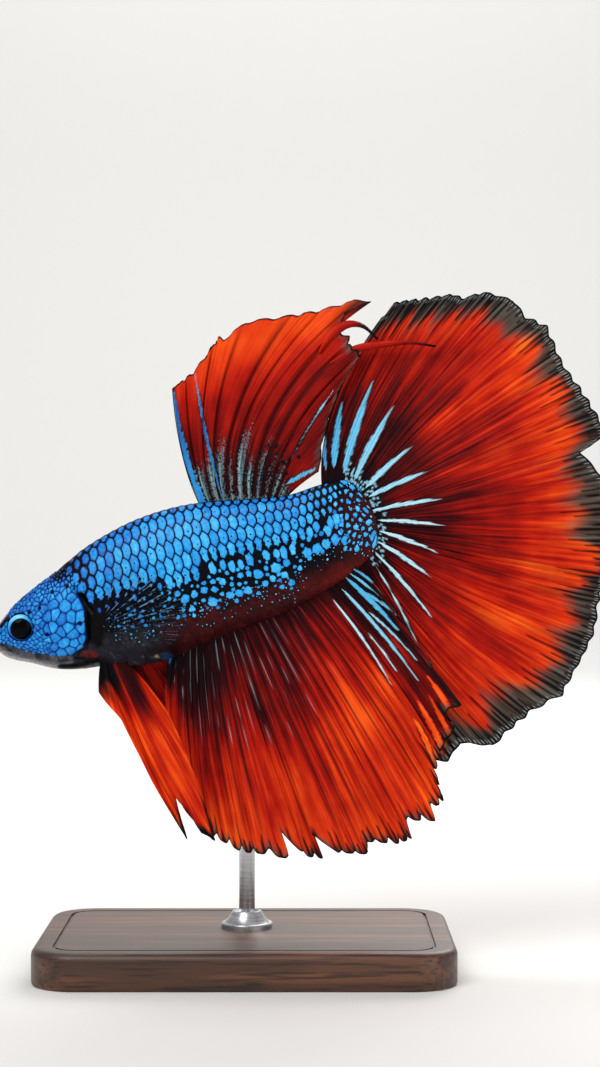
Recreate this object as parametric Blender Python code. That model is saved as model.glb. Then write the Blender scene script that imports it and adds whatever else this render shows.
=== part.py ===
"""Halfmoon betta fish, adult male: a life-size display model on a base with one rod.

The fish is first drawn level, in millimetres: u runs back from the snout tip, v runs up
and w runs to the fish's right. posed() then tips it head-down and sets it over the stand.
In the world +Z is up, the head points to -X and the left flank faces -Y. The origin is
the middle of the stand base's underside.
"""

import math

import bmesh
import bpy
import numpy as np
from mathutils import Vector

MM = 0.001

# Driving dimensions, in millimetres and degrees.
STANDARD_LENGTH = 45.0
PITCH = math.radians(17.0)
SNOUT_X = -28.4
SNOUT_Z = 36.5
GAP = 0.25
FIN_THICKNESS = 0.6
BODY_WIDTH = 7.8

EYE_CENTRE = (3.65, 0.4, 1.85)
EYE_RADIUS = 1.45
EYE_DEPTH = 0.95

BASE_SIZE = (46.0, 30.0, 4.0)
BASE_CORNER = 5.0
ROD_RADIUS = 0.9
ROD_Y = 1.8
ROD_TOP = 41.4
ROD_SINK = 2.8

# Body profile from snout to tail root: place u, back, belly, then the half width as a
# share of half the body's greatest width.
PROFILE = [
    (0.0, 0.35, -0.95, 0.13),
    (0.3, 0.9, -1.7, 0.25),
    (0.8, 1.45, -2.35, 0.36),
    (1.6, 2.15, -2.95, 0.47),
    (3.2, 3.15, -3.8, 0.63),
    (5.8, 4.35, -5.3, 0.80),
    (8.1, 5.2, -6.05, 0.88),
    (10.3, 6.05, -6.35, 0.925),
    (12.6, 6.95, -6.95, 0.95),
    (15.5, 7.75, -7.7, 0.98),
    (18.9, 8.35, -7.85, 1.0),
    (22.8, 8.5, -7.35, 0.97),
    (26.6, 8.15, -7.1, 0.89),
    (32.0, 6.95, -6.7, 0.70),
    (36.5, 6.05, -5.85, 0.54),
    (40.0, 6.1, -4.95, 0.40),
    (42.6, 5.9, -3.9, 0.28),
    (44.2, 4.6, -2.7, 0.19),
    (STANDARD_LENGTH, 2.4, -0.9, 0.13),
]
RING_POINTS = 18
STATIONS = 27

# Where the body is parted, as outlines in the level side view.
JAW_LINE = [(-2, -0.35), (0.6, -0.45), (1.8, -1.25), (3.8, -2.65), (6.3, -3.95), (7.2, -5.2), (7.4, -9)]
GILL_LINE = [(10.4, 12), (10.6, 6), (11.2, 2.4), (12.1, 0.2), (12.3, -2.0), (11.4, -4.6), (10.2, -9)]
STALK_U = 34.5
GILL_COVER = (8.3, -1.2, 2.75, 2.7)
GILL_MEMBRANE = (8.85, -1.95, 3.2, 3.75)
GILL_DEPTH = 1.8
GILL_STEP = 0.2


def clear_scene():
    for obj in list(bpy.data.objects):
        bpy.data.objects.remove(obj, do_unlink=True)


def material(name, colour, roughness, metallic=0.0):
    made = bpy.data.materials.new(name)
    made.use_nodes = True
    shader = made.node_tree.nodes["Principled BSDF"]
    shader.inputs["Base Color"].default_value = (*colour, 1.0)
    shader.inputs["Roughness"].default_value = roughness
    shader.inputs["Metallic"].default_value = metallic
    return made


def posed(u, v, w):
    """World place, in metres, of a point of the level fish."""
    x = SNOUT_X + u * math.cos(PITCH) - v * math.sin(PITCH)
    z = SNOUT_Z + u * math.sin(PITCH) + v * math.cos(PITCH)
    return Vector((x, w, z)) * MM


def through(knots):
    """Smooth curve through rows of (parameter, values), as a function of the parameter."""
    rows = np.array(knots, float)
    at, values = rows[:, 0], rows[:, 1:]
    slopes = np.gradient(values, at, axis=0)

    def value(x):
        i = int(np.clip(np.searchsorted(at, x) - 1, 0, len(at) - 2))
        span = at[i + 1] - at[i]
        s = min(max((x - at[i]) / span, 0.0), 1.0)
        start = values[i] * (1 + 2 * s) * (1 - s) ** 2 + slopes[i] * span * s * (1 - s) ** 2
        end = values[i + 1] * (3 - 2 * s) * s**2 + slopes[i + 1] * span * (s - 1) * s**2
        return start + end

    return value


body_profile = through(PROFILE)


def new_object(name, mesh, finish=None, smooth=True):
    obj = bpy.data.objects.new(name, mesh)
    bpy.context.scene.collection.objects.link(obj)
    if finish:
        mesh.materials.append(finish)
    if smooth:
        mesh.shade_smooth()
    return obj


def helper(obj):
    """A cutter or guide: left out of the model and of a render."""
    obj.hide_render = True
    obj.display_type = "WIRE"
    return obj


def mesh_from_rings(name, rings):
    """Closed mesh over a stack of rings of world points, its two ends filled."""
    shape = bmesh.new()
    loops = [[shape.verts.new(point) for point in ring] for ring in rings]
    for one, two in zip(loops, loops[1:]):
        for i in range(len(one)):
            j = (i + 1) % len(one)
            shape.faces.new((one[i], one[j], two[j], two[i]))
    shape.faces.new(loops[0])
    shape.faces.new(loops[-1])
    bmesh.ops.recalc_face_normals(shape, faces=shape.faces)
    mesh = bpy.data.meshes.new(name)
    shape.to_mesh(mesh)
    shape.free()
    return mesh


def body_station(share):
    """Places u along the body, closer together at the snout and the tail root."""
    eased = share - 0.12 * math.sin(2 * math.pi * share)
    return STANDARD_LENGTH * eased


def body_mesh(name, extra=0.0):
    """The whole flesh as one closed form, grown by extra millimetres all over."""
    rings = []
    for i in range(STATIONS):
        u = body_station(i / (STATIONS - 1))
        back, belly, share = body_profile(u)
        half = share * BODY_WIDTH / 2 + extra
        middle = 0.56 * belly + 0.44 * back
        end_shift = {0: -extra, STATIONS - 1: extra}.get(i, 0.0)
        ring = []
        for k in range(RING_POINTS):
            turn = 2 * math.pi * k / RING_POINTS
            reach = back - middle if math.sin(turn) > 0 else middle - belly
            v = middle + (reach + extra) * math.sin(turn)
            w = half * math.copysign(abs(math.cos(turn)) ** 0.92, math.cos(turn))
            ring.append(posed(u + end_shift, v, w))
        rings.append(ring)
    return mesh_from_rings(name, rings)


def prism(name, outline, w_from, w_to):
    """Cutter: an outline in the level side view, run from one w to another."""
    rings = [[posed(u, v, w) for u, v in outline] for w in (w_from, w_to)]
    return helper(new_object(name, mesh_from_rings(name, rings), smooth=False))


def shifted(line, du):
    return [(u + du, v) for u, v in line]


def ellipse(oval, grown=0.0, points=20):
    cu, cv, ru, rv = oval
    return [
        (cu + (ru + grown) * math.cos(a), cv + (rv + grown) * math.sin(a))
        for a in (2 * math.pi * i / points for i in range(points))
    ]


def cut(obj, other, operation="DIFFERENCE", solver="EXACT"):
    step = obj.modifiers.new(f"{operation.lower()} {other.name}", "BOOLEAN")
    step.operation = operation
    step.object = other
    step.solver = solver


def egg(name, centre, radius, depth, extra=0.0, rows=8, columns=16):
    """Eyeball form: round from the side, flatter from front to back of the socket."""
    rings = []
    for i in range(1, rows):
        a = math.pi * i / rows
        w = centre[2] + (depth + extra) * math.cos(a)
        r = (radius + extra) * math.sin(a)
        rings.append(
            [
                posed(centre[0] + r * math.cos(b), centre[1] + r * math.sin(b), w)
                for b in (2 * math.pi * k / columns for k in range(columns))
            ]
        )
    return mesh_from_rings(name, rings)


def make_body():
    """Head, jaw, gill covers, gill membranes, eyes, trunk and tail stalk."""
    blue_scales = material("Blue scaled skin", (0.05, 0.3, 0.75), 0.35)
    dark_skin = material("Grey brown throat skin", (0.09, 0.06, 0.06), 0.5)
    black_skin = material("Black gill membrane", (0.01, 0.01, 0.015), 0.5)
    eye_finish = material("Blue ringed eye", (0.02, 0.12, 0.3), 0.1)
    far = 2 * BODY_WIDTH

    head_end = [(-4, -12)] + [(-4, 14)] + GILL_LINE
    head_block = prism("head block", head_end, -far, far)
    trunk_front = shifted(GILL_LINE, GAP)
    trunk_block = prism(
        "trunk block", trunk_front + [(STALK_U, -12), (STALK_U, 12)], -far, far
    )
    stalk_u = STALK_U + GAP
    stalk_block = prism(
        "stalk block", [(stalk_u, -12), (stalk_u + 15, -12), (stalk_u + 15, 14), (stalk_u, 14)], -far, far
    )
    jaw_block = prism("jaw block", JAW_LINE + [(-2, -9)], -far, far)
    jaw_gap = prism("jaw gap", [(u + 0.1, v + GAP) for u, v in JAW_LINE] + [(-3, -9.2)], -far, far)

    head = new_object("head", body_mesh("head"), blue_scales)
    cut(head, head_block, "INTERSECT")
    cut(head, jaw_gap)
    lower_jaw = new_object("lower_jaw", body_mesh("lower_jaw"), dark_skin)
    cut(lower_jaw, jaw_block, "INTERSECT")
    trunk = new_object("trunk", body_mesh("trunk"), blue_scales)
    cut(trunk, trunk_block, "INTERSECT")
    stalk = new_object("tail_stalk", body_mesh("tail_stalk"), blue_scales)
    cut(stalk, stalk_block, "INTERSECT")

    cover_gap = GILL_DEPTH - GAP
    for side, sign in (("left", -1), ("right", 1)):
        inner, outer = sign * GILL_DEPTH, sign * far
        cover_block = prism(f"cover block {side}", ellipse(GILL_COVER), inner, outer)
        cover_space = prism(
            f"cover space {side}", ellipse(GILL_COVER, GAP), sign * cover_gap, outer
        )
        membrane_block = prism(f"membrane block {side}", ellipse(GILL_MEMBRANE), inner, outer)
        membrane_space = prism(
            f"membrane space {side}", ellipse(GILL_MEMBRANE, GAP), sign * cover_gap, outer
        )
        cover = new_object(
            f"gill_cover_{side}", body_mesh(f"gill_cover_{side}", GILL_STEP), blue_scales
        )
        cut(cover, cover_block, "INTERSECT")
        membrane = new_object(
            f"gill_membrane_{side}", body_mesh(f"gill_membrane_{side}"), black_skin
        )
        cut(membrane, membrane_block, "INTERSECT")
        cut(membrane, cover_space)
        for flesh in (head, lower_jaw, trunk):
            cut(flesh, membrane_space)
        for flesh in (head, lower_jaw):
            cut(flesh, cover_space)

        centre = (EYE_CENTRE[0], EYE_CENTRE[1], sign * EYE_CENTRE[2])
        new_object(
            f"eye_{side}", egg(f"eye_{side}", centre, EYE_RADIUS, EYE_DEPTH), eye_finish
        )
        socket = helper(
            new_object(
                f"eye socket {side}", egg("socket", centre, EYE_RADIUS, EYE_DEPTH, GAP)
            )
        )
        cut(head, socket)
    return trunk


def ray_point(root, tip, lean, share):
    """Point on a fin ray that leaves its root turned by lean degrees from the straight way."""
    run = tip - root
    a = math.radians(lean)
    turned = np.array(
        [
            run[0] * math.cos(a) - run[1] * math.sin(a),
            run[0] * math.sin(a) + run[1] * math.cos(a),
        ]
    )
    handle = root + 0.45 * turned
    return root * (1 - share) ** 2 + handle * 2 * share * (1 - share) + tip * share**2


def add_streamer(shape, first, second, path, half_width):
    """Runs the membrane's edge between two ray tips on along a path, narrowing to a point."""
    last = (first, second)
    for k, (u, v, w) in enumerate(path):
        before = path[k - 1] if k else None
        after = path[min(k + 1, len(path) - 1)]
        way = np.subtract(after[:2], before[:2] if before else (u, v))
        if k == len(path) - 1:
            way = np.subtract((u, v), before[:2])
        across = np.array([-way[1], way[0]]) / np.hypot(*way)
        across *= half_width * (1 - 0.6 * k / (len(path) - 1))
        pair = [
            shape.verts.new(posed(u + side * across[0], v + side * across[1], w))
            for side in (1, -1)
        ]
        shape.faces.new((last[0], last[1], pair[1], pair[0]))
        last = pair


def fin(name, finish, roots, margin, leans, sway, columns, steps, streamers=()):
    """Fin as a fan of rays with membrane between them, cut to fit round the body.

    roots gives feet from the first ray to the last, margin the tips as (ray share, u, v),
    leans the rays' turns in the same order, and sway(ray share, length share) their w.
    Each streamer is (ray share it starts at, its middle line as (u, v, w), half width).
    """
    foot = through([(i / (len(roots) - 1), *place) for i, place in enumerate(roots)])
    lean_at = through([(i / (len(leans) - 1), turn) for i, turn in enumerate(leans)])
    knots = np.array(margin, float)
    shares = np.union1d(np.linspace(0, 1, columns), knots[:, 0])
    keep = np.concatenate([[True], np.diff(shares) > 0.3 / columns])
    for knot in knots[:, 0]:
        keep[np.argmin(abs(shares - knot))] = True
    shape = bmesh.new()
    rows = []
    shares = shares[keep]
    for t in shares:
        tip = np.array([np.interp(t, knots[:, 0], knots[:, c]) for c in (1, 2)])
        row = []
        for j in range(steps + 1):
            r = j / steps
            u, v = ray_point(foot(t), tip, lean_at(t)[0], r)
            row.append(shape.verts.new(posed(u, v, sway(t, r))))
        rows.append(row)
    for one, two in zip(rows, rows[1:]):
        for j in range(steps):
            shape.faces.new((one[j], one[j + 1], two[j + 1], two[j]))
    for share, path, half_width in streamers:
        i = int(np.argmin(abs(shares - share)))
        add_streamer(shape, rows[i][-1], rows[i + 1][-1], path, half_width)
    bmesh.ops.recalc_face_normals(shape, faces=shape.faces)
    mesh = bpy.data.meshes.new(name)
    shape.to_mesh(mesh)
    shape.free()
    obj = new_object(name, mesh, finish)
    wall = obj.modifiers.new("membrane thickness", "SOLIDIFY")
    wall.thickness = FIN_THICKNESS * MM
    wall.offset = 0.0
    return obj


def dorsal_sway(t, r):
    """The long rear streamers pass in front of the tail fin; the last rays end before it."""
    drift = np.interp(t, (0, 0.5, 0.6, 0.8, 0.88, 1), (0, -0.5, -1.5, -1.6, -1.0, -0.1))
    return drift * r + 0.35 * r**1.5 * math.sin(2 * math.pi * (5 * t + 0.1))


def caudal_sway(t, r):
    drift = np.interp(t, (0, 0.2, 0.75, 1), (0.0, 0.0, 0.3, 1.0))
    swell = 1.1 * r**2 * math.sin(2 * math.pi * (1.5 * t + 0.05)) * math.sin(math.pi * t)
    return drift * r + swell + 0.3 * r**1.5 * math.sin(2 * math.pi * 9 * t)


def anal_sway(t, r):
    drift = np.interp(t, (0, 0.3, 0.7, 1), (0, -0.4, -1.0, -1.5))
    return drift * r**0.6 + 0.35 * r**1.5 * math.sin(2 * math.pi * (6 * t + 0.3))


def make_fins():
    red_fin = material("Red fin membrane", (0.55, 0.03, 0.01), 0.45)
    clear_fin = material("Clear fin membrane", (0.35, 0.4, 0.45), 0.3)
    body_space = helper(new_object("body space", body_mesh("body space", GAP)))

    made = [
        fin(
            "dorsal_fin",
            red_fin,
            roots=[(26.6, 7.2), (31.0, 6.2), (35.2, 5.2)],
            margin=[
                (0.0, 27.4, 21.2), (0.03, 28.4, 21.6), (0.10, 30.4, 22.4), (0.17, 33.2, 24.5),
                (0.21, 34.2, 25.3), (0.23, 34.6, 24.9), (0.28, 37.6, 26.0), (0.36, 42.6, 25.2),
                (0.44, 46.2, 24.8), (0.50, 49.9, 24.7), (0.53, 51.8, 24.1), (0.56, 48.6, 23.6),
                (0.60, 47.2, 22.0), (0.64, 48.2, 20.9), (0.68, 47.9, 20.1), (0.72, 48.3, 19.4),
                (0.77, 48.9, 18.6), (0.81, 47.6, 17.6), (0.86, 45.6, 15.8), (0.91, 43.4, 12.9),
                (0.96, 41.6, 10.0), (1.0, 40.7, 7.6),
            ],
            leans=(12, 22, 38, 27, 10),
            sway=dorsal_sway,
            columns=20,
            steps=7,
            streamers=[
                (0.60, [(49.2, 21.5, -1.5), (50.4, 20.9, -1.5), (51.0, 19.7, -1.5)], 0.4),
                (0.72, [(50.4, 19.1, -1.6), (53.4, 18.6, -1.7), (56.6, 17.2, -1.7)], 0.35),
            ],
        ),
        fin(
            "caudal_fin",
            red_fin,
            roots=[(40.2, 5.4), (43.4, 3.9), (43.9, 1.2), (43.5, -1.2), (41.6, -2.6)],
            margin=[
                (0.0, 52.4, 22.2), (0.015, 53.2, 22.1), (0.03, 54.2, 23.2), (0.09, 57.0, 22.8),
                (0.16, 61.1, 22.2), (0.175, 61.6, 21.5), (0.21, 64.3, 21.4), (0.25, 67.2, 19.6),
                (0.27, 67.9, 17.4), (0.305, 69.8, 15.7), (0.36, 70.3, 10.9), (0.40, 71.3, 7.8),
                (0.45, 72.3, 4.0), (0.475, 72.5, 2.0), (0.50, 69.3, 0.9), (0.53, 70.8, -2.8),
                (0.58, 70.0, -8.0), (0.64, 68.4, -12.7), (0.70, 66.4, -16.0), (0.73, 65.1, -18.8),
                (0.78, 62.5, -21.6), (0.83, 59.4, -24.8), (0.86, 55.7, -25.4), (0.90, 52.8, -26.7),
                (0.93, 50.3, -28.0), (0.965, 46.8, -26.5), (0.985, 44.9, -28.1), (1.0, 43.2, -27.5),
            ],
            leans=(24, 8, 0, -6, -16),
            sway=caudal_sway,
            columns=32,
            steps=7,
        ),
        fin(
            "anal_fin",
            red_fin,
            roots=[(18.8, -6.6), (29.5, -5.7), (38.8, -4.2)],
            margin=[
                (0.0, 16.2, -12.8), (0.04, 15.9, -17.0), (0.09, 16.4, -24.0), (0.14, 17.2, -28.4),
                (0.20, 19.6, -30.8), (0.25, 21.6, -31.6), (0.29, 24.6, -33.2), (0.305, 24.4, -29.6),
                (0.32, 26.2, -33.4), (0.37, 28.2, -34.2), (0.385, 27.9, -31.4), (0.40, 30.0, -34.0),
                (0.47, 33.3, -35.3), (0.48, 33.5, -33.9), (0.54, 36.6, -35.0), (0.60, 38.4, -34.9),
                (0.61, 38.4, -32.8), (0.67, 41.6, -33.9), (0.68, 41.8, -32.2), (0.71, 43.0, -32.2),
                (0.77, 43.2, -28.4), (0.84, 44.6, -26.2), (0.88, 46.8, -24.4), (0.91, 45.8, -22.6),
                (0.95, 48.0, -22.2), (0.98, 44.9, -17.6), (1.0, 43.0, -13.5),
            ],
            leans=(-10, 2, 10),
            sway=anal_sway,
            columns=26,
            steps=7,
        ),
    ]
    ventral_roots = {
        "left": [(11.2, -5.2), (13.2, -5.9)],
        "right": [(11.4, -5.2), (14.8, -6.3)],
    }
    ventral_margins = {
        "left": [
            (0.0, 9.9, -9.0), (0.12, 11.6, -13.0), (0.24, 12.8, -20.3), (0.34, 14.5, -27.5),
            (0.46, 14.6, -22.3), (0.60, 16.3, -27.1), (0.75, 17.5, -28.5), (0.88, 17.5, -21.6),
            (1.0, 16.6, -13.5),
        ],
        "right": [
            (0.0, 11.0, -9.2), (0.12, 13.2, -13.0), (0.24, 15.0, -19.6), (0.40, 17.2, -26.0),
            (0.55, 18.4, -23.0), (0.70, 20.0, -24.4), (0.88, 19.9, -17.0), (1.0, 18.6, -10.6),
        ],
    }
    for side, sign in (("left", -1), ("right", 1)):
        made.append(
            fin(
                f"ventral_fin_{side}",
                red_fin,
                roots=ventral_roots[side],
                margin=ventral_margins[side],
                leans=(-8, -4, 8),
                sway=lambda t, r, sign=sign: sign * (1.2 + 2.0 * r + 0.25 * r * math.sin(12 * t)),
                columns=8,
                steps=6,
            )
        )
        made.append(
            fin(
                f"pectoral_fin_{side}",
                clear_fin,
                roots=[(12.7, -0.9), (12.4, -3.1)],
                margin=[
                    (0.0, 20.6, 2.2), (0.2, 22.8, 1.4), (0.45, 23.4, -1.0), (0.7, 22.8, -4.0),
                    (0.88, 21.2, -6.4), (1.0, 19.4, -7.0),
                ],
                leans=(-4, 0, 4),
                sway=lambda t, r, sign=sign: sign
                * (3.0 + 1.5 * min(r / 0.3, 1.0) + 1.6 * r - 0.8 * abs(t - 0.5) * r),
                columns=7,
                steps=5,
            )
        )
    # A membrane's wall meets itself in the deepest notches, which EXACT can't cut.
    for obj in made:
        cut(obj, body_space, solver="MANIFOLD")


def rounded_plate(name, size, corner, lower, upper, chamfer):
    """Flat base with round corners and a chamfered top edge, from one height to another."""
    rings = []
    for height, inset in ((lower, 0.0), (upper - chamfer, 0.0), (upper, chamfer)):
        ring = []
        for quarter, (sx, sy) in enumerate(((1, 1), (-1, 1), (-1, -1), (1, -1))):
            for i in range(6):
                a = math.pi / 2 * (quarter + i / 5)
                x = sx * (size[0] / 2 - corner) + (corner - inset) * math.cos(a)
                y = sy * (size[1] / 2 - corner) + (corner - inset) * math.sin(a)
                ring.append(Vector((x, y, height)) * MM)
        rings.append(ring)
    return mesh_from_rings(name, rings)


def rod_mesh(name, radius, lower, upper, sides=16):
    rings = [
        [
            Vector((radius * math.cos(a), ROD_Y + radius * math.sin(a), height)) * MM
            for a in (2 * math.pi * i / sides for i in range(sides))
        ]
        for height in (lower, upper)
    ]
    return mesh_from_rings(name, rings)


def collar_mesh(name, lower, upper, sides=20):
    """Turned ring round the foot of the rod, dished from its foot to its top."""
    inner = ROD_RADIUS + GAP
    section = [(inner, lower), (2.9, lower), (2.9, lower + 0.6), (1.9, upper), (inner, upper)]
    shape = bmesh.new()
    loops = []
    for i in range(sides):
        a = 2 * math.pi * i / sides
        loops.append(
            [
                shape.verts.new(Vector((r * math.cos(a), ROD_Y + r * math.sin(a), z)) * MM)
                for r, z in section
            ]
        )
    for i in range(sides):
        one, two = loops[i], loops[(i + 1) % sides]
        for k in range(len(section)):
            j = (k + 1) % len(section)
            shape.faces.new((one[k], one[j], two[j], two[k]))
    bmesh.ops.recalc_face_normals(shape, faces=shape.faces)
    mesh = bpy.data.meshes.new(name)
    shape.to_mesh(mesh)
    shape.free()
    return mesh


def make_stand(trunk):
    """Flat base, one rod in a blind hole, and a collar; the rod ends in a belly socket."""
    wood = material("Dark wood base", (0.07, 0.03, 0.015), 0.4)
    steel = material("Brushed steel rod", (0.6, 0.6, 0.6), 0.3, metallic=1.0)
    top = BASE_SIZE[2]
    base = new_object(
        "stand_base", rounded_plate("stand_base", BASE_SIZE, BASE_CORNER, 0.0, top, 0.8), wood, smooth=False
    )
    hole_floor = top - ROD_SINK
    hole = rod_mesh("rod hole", ROD_RADIUS + GAP, hole_floor, top + 2.0)
    cut(base, helper(new_object("rod hole", hole, smooth=False)))
    rod = rod_mesh("stand_rod", ROD_RADIUS, hole_floor + GAP, ROD_TOP)
    rod_object = new_object("stand_rod", rod, steel)
    rod_object.data.set_sharp_from_angle(angle=math.radians(40))
    socket = rod_mesh("belly socket", ROD_RADIUS + GAP, top, ROD_TOP + GAP)
    cut(trunk, helper(new_object("belly socket", socket, smooth=False)))
    collar = new_object("stand_collar", collar_mesh("stand_collar", top + GAP, top + 1.9), steel)
    collar.data.set_sharp_from_angle(angle=math.radians(30))


clear_scene()
make_stand(make_body())
make_fins()
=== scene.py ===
import math

import bmesh
import bpy
import numpy as np
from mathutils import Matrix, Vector


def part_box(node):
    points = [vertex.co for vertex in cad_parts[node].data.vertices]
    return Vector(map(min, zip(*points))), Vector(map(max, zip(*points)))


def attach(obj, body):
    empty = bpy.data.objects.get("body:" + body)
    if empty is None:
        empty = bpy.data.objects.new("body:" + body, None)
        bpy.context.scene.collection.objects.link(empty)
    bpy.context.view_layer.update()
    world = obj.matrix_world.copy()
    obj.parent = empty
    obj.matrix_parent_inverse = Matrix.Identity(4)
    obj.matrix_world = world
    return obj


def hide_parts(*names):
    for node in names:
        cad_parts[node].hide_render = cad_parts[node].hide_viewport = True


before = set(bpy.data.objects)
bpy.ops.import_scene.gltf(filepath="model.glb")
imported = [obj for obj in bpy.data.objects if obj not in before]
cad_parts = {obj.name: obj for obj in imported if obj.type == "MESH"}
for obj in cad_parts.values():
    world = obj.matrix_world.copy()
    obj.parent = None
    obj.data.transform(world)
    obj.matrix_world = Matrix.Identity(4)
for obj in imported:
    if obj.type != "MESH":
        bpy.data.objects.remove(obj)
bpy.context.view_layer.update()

# ---------------------------------------------------------------------------------------
# Stand base. A flat plate of solid walnut, sawn to size, its corners and top edge rounded
# on a router, a narrow line cut round its top. It is oiled, and bears the whole model.

MM = 0.001


def srgb(code):
    """Linear colour of a hex sRGB value."""
    parts = [int(code[i : i + 2], 16) / 255 for i in (1, 3, 5)]
    return [c / 12.92 if c <= 0.04045 else ((c + 0.055) / 1.055) ** 2.4 for c in parts]


def feed(tree, node, inputs):
    """Sets a node's inputs: a socket is linked, a hex value is a colour, all else is set."""
    for name, value in inputs.items():
        socket = node.inputs[name]
        if isinstance(value, bpy.types.NodeSocket):
            tree.links.new(value, socket)
        elif isinstance(value, str):
            socket.default_value = (*srgb(value), 1)
        else:
            socket.default_value = value


def add(tree, kind, output, inputs=None, stops=(), **settings):
    """Adds a shader node with its settings, inputs and ramp stops, and gives its output.
    Of a ramp's stops, the first two listed are the outermost."""
    node = tree.nodes.new("ShaderNode" + kind)
    for name, value in settings.items():
        setattr(node, name, value)
    feed(tree, node, inputs or {})
    for i, (place, colour) in enumerate(stops):
        ramp = node.color_ramp.elements
        stop = ramp[i] if i < 2 else ramp.new(place)
        stop.position = place
        stop.color = (*srgb(colour), 1) if isinstance(colour, str) else (colour,) * 3 + (1,)
    return node.outputs[output]


def finish(name, sockets):
    """A new material, its node tree and its Principled shader with these sockets set."""
    made = bpy.data.materials.new(name)
    made.use_nodes = True
    shader = made.node_tree.nodes["Principled BSDF"]
    feed(made.node_tree, shader, sockets)
    return made, made.node_tree, shader


def add_piece(piece, name, material, slot, *nodes):
    """Names a finished piece, gives it its material and sets it in the model."""
    piece.name = piece.data.name = name
    piece.data.materials.clear()
    piece.data.materials.append(material)
    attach(piece, "root")
    if nodes:
        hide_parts(*nodes)


def choose(kind, test):
    """Selects, in edit mode, the edges or faces that pass the test, which is given the
    middle of each in millimetres, and the edge or face itself."""
    bpy.context.tool_settings.mesh_select_mode = (False, kind == "edges", kind == "faces")
    shape = bmesh.from_edit_mesh(bpy.context.object.data)
    for part in getattr(shape, kind):
        part.select_set(False)
    for part in getattr(shape, kind):
        middle = sum((v.co for v in part.verts), part.verts[0].co * 0) / len(part.verts)
        if test(middle / MM, part):
            part.select_set(True)
    shape.select_flush_mode()
    bmesh.update_edit_mesh(bpy.context.object.data)


base_low, base_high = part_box("stand_base")
BASE_TOP = base_high.z / MM
bpy.ops.object.select_all(action="DESELECT")
bpy.ops.mesh.primitive_cube_add(
    size=1, location=(base_low + base_high) / 2, scale=base_high - base_low
)
base = bpy.context.object
bpy.ops.object.transform_apply(location=True, rotation=True, scale=True)
bpy.ops.object.mode_set(mode="EDIT")
# The four upright corners, then the top edge, then the bottom edge.
for on_edge, round_by, segments in (
    (lambda at, edge: abs(at.z - BASE_TOP / 2) < 0.1, 5, 12),
    (lambda at, edge: at.z > BASE_TOP - 0.01, 0.8, 5),
    (lambda at, edge: at.z < 0.01, 0.3, 2),
):
    choose("edges", on_edge)
    bpy.ops.mesh.bevel(offset=round_by * MM, segments=segments, affect="EDGES")
choose("faces", lambda at, face: face.normal.z > 0.99 and at.z > BASE_TOP - 0.01)
bpy.ops.mesh.inset(thickness=1.5 * MM)
bpy.ops.mesh.extrude_region_move(TRANSFORM_OT_translate={"value": (0, 0, -0.25 * MM)})
bpy.ops.mesh.inset(thickness=0.35 * MM)
bpy.ops.mesh.extrude_region_move(TRANSFORM_OT_translate={"value": (0, 0, 0.25 * MM)})
bpy.ops.object.mode_set(mode="OBJECT")
bpy.ops.object.shade_smooth_by_angle(angle=math.radians(35))

# Walnut, planed and oiled: brown growth bands with fine dark pores drawn out along the
# grain, and a low sheen that is a little broken by the open pores.
walnut, tree, shader = finish("oiled walnut", {"Roughness": 0.42})
where = add(tree, "TexCoord", "Object")
# Growth bands are 1.5 to 3 mm apart across the grain and some 40 mm long.
along_grain = add(tree, "Mapping", 0, {"Vector": where, "Scale": (25, 420, 420)})
bands = add(
    tree, "TexNoise", 0,
    {"Vector": along_grain, "Scale": 1.0, "Detail": 4.0, "Distortion": 0.6},
)
# Pores are 0.2 mm across, drawn as 0.3 mm so that they show.
along_pores = add(tree, "Mapping", 0, {"Vector": where, "Scale": (160, 3300, 3300)})
pores = add(tree, "TexNoise", 0, {"Vector": along_pores, "Scale": 1.0, "Detail": 2.0})
wood = add(
    tree, "ValToRGB", 0, {"Fac": bands},
    stops=[(0.25, "#2A170E"), (0.75, "#7A4C30"), (0.5, "#4A2B1A")],
)
pore_shade = add(tree, "ValToRGB", 0, {"Fac": pores}, stops=[(0.36, 0.35), (0.5, 1.0)])
wood = add(
    tree, "Mix", 2, {"Factor": 1.0, 6: wood, 7: pore_shade},
    data_type="RGBA", blend_type="MULTIPLY",
)
bump = add(tree, "Bump", 0, {"Height": pores, "Strength": 0.25, "Distance": 0.00005})
feed(tree, shader, {"Base Color": wood, "Normal": bump})
add_piece(base, "walnut_base", walnut, "stand_wood", "stand_base")


# ---------------------------------------------------------------------------------------
# Rod and collar. One straight steel rod, ground and brushed round, pushed into a hole in
# the base and glued into the belly. A turned steel ring is slid down it to cover the hole.

rod_low, rod_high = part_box("stand_rod")
rod_middle = (rod_low + rod_high) / 2
bpy.ops.object.select_all(action="DESELECT")
bpy.ops.mesh.primitive_cylinder_add(
    vertices=64, radius=(rod_high.x - rod_low.x) / 2, depth=rod_high.z - rod_low.z,
    location=rod_middle,
)
rod = bpy.context.object
bpy.ops.object.transform_apply(location=True, rotation=True, scale=True)
bpy.ops.object.mode_set(mode="EDIT")
choose("edges", lambda at, edge: len({len(face.verts) for face in edge.link_faces}) == 2)
bpy.ops.mesh.bevel(offset=0.15 * MM, segments=3, affect="EDGES")
bpy.ops.object.mode_set(mode="OBJECT")
bpy.ops.object.shade_smooth_by_angle(angle=math.radians(35))

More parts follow.
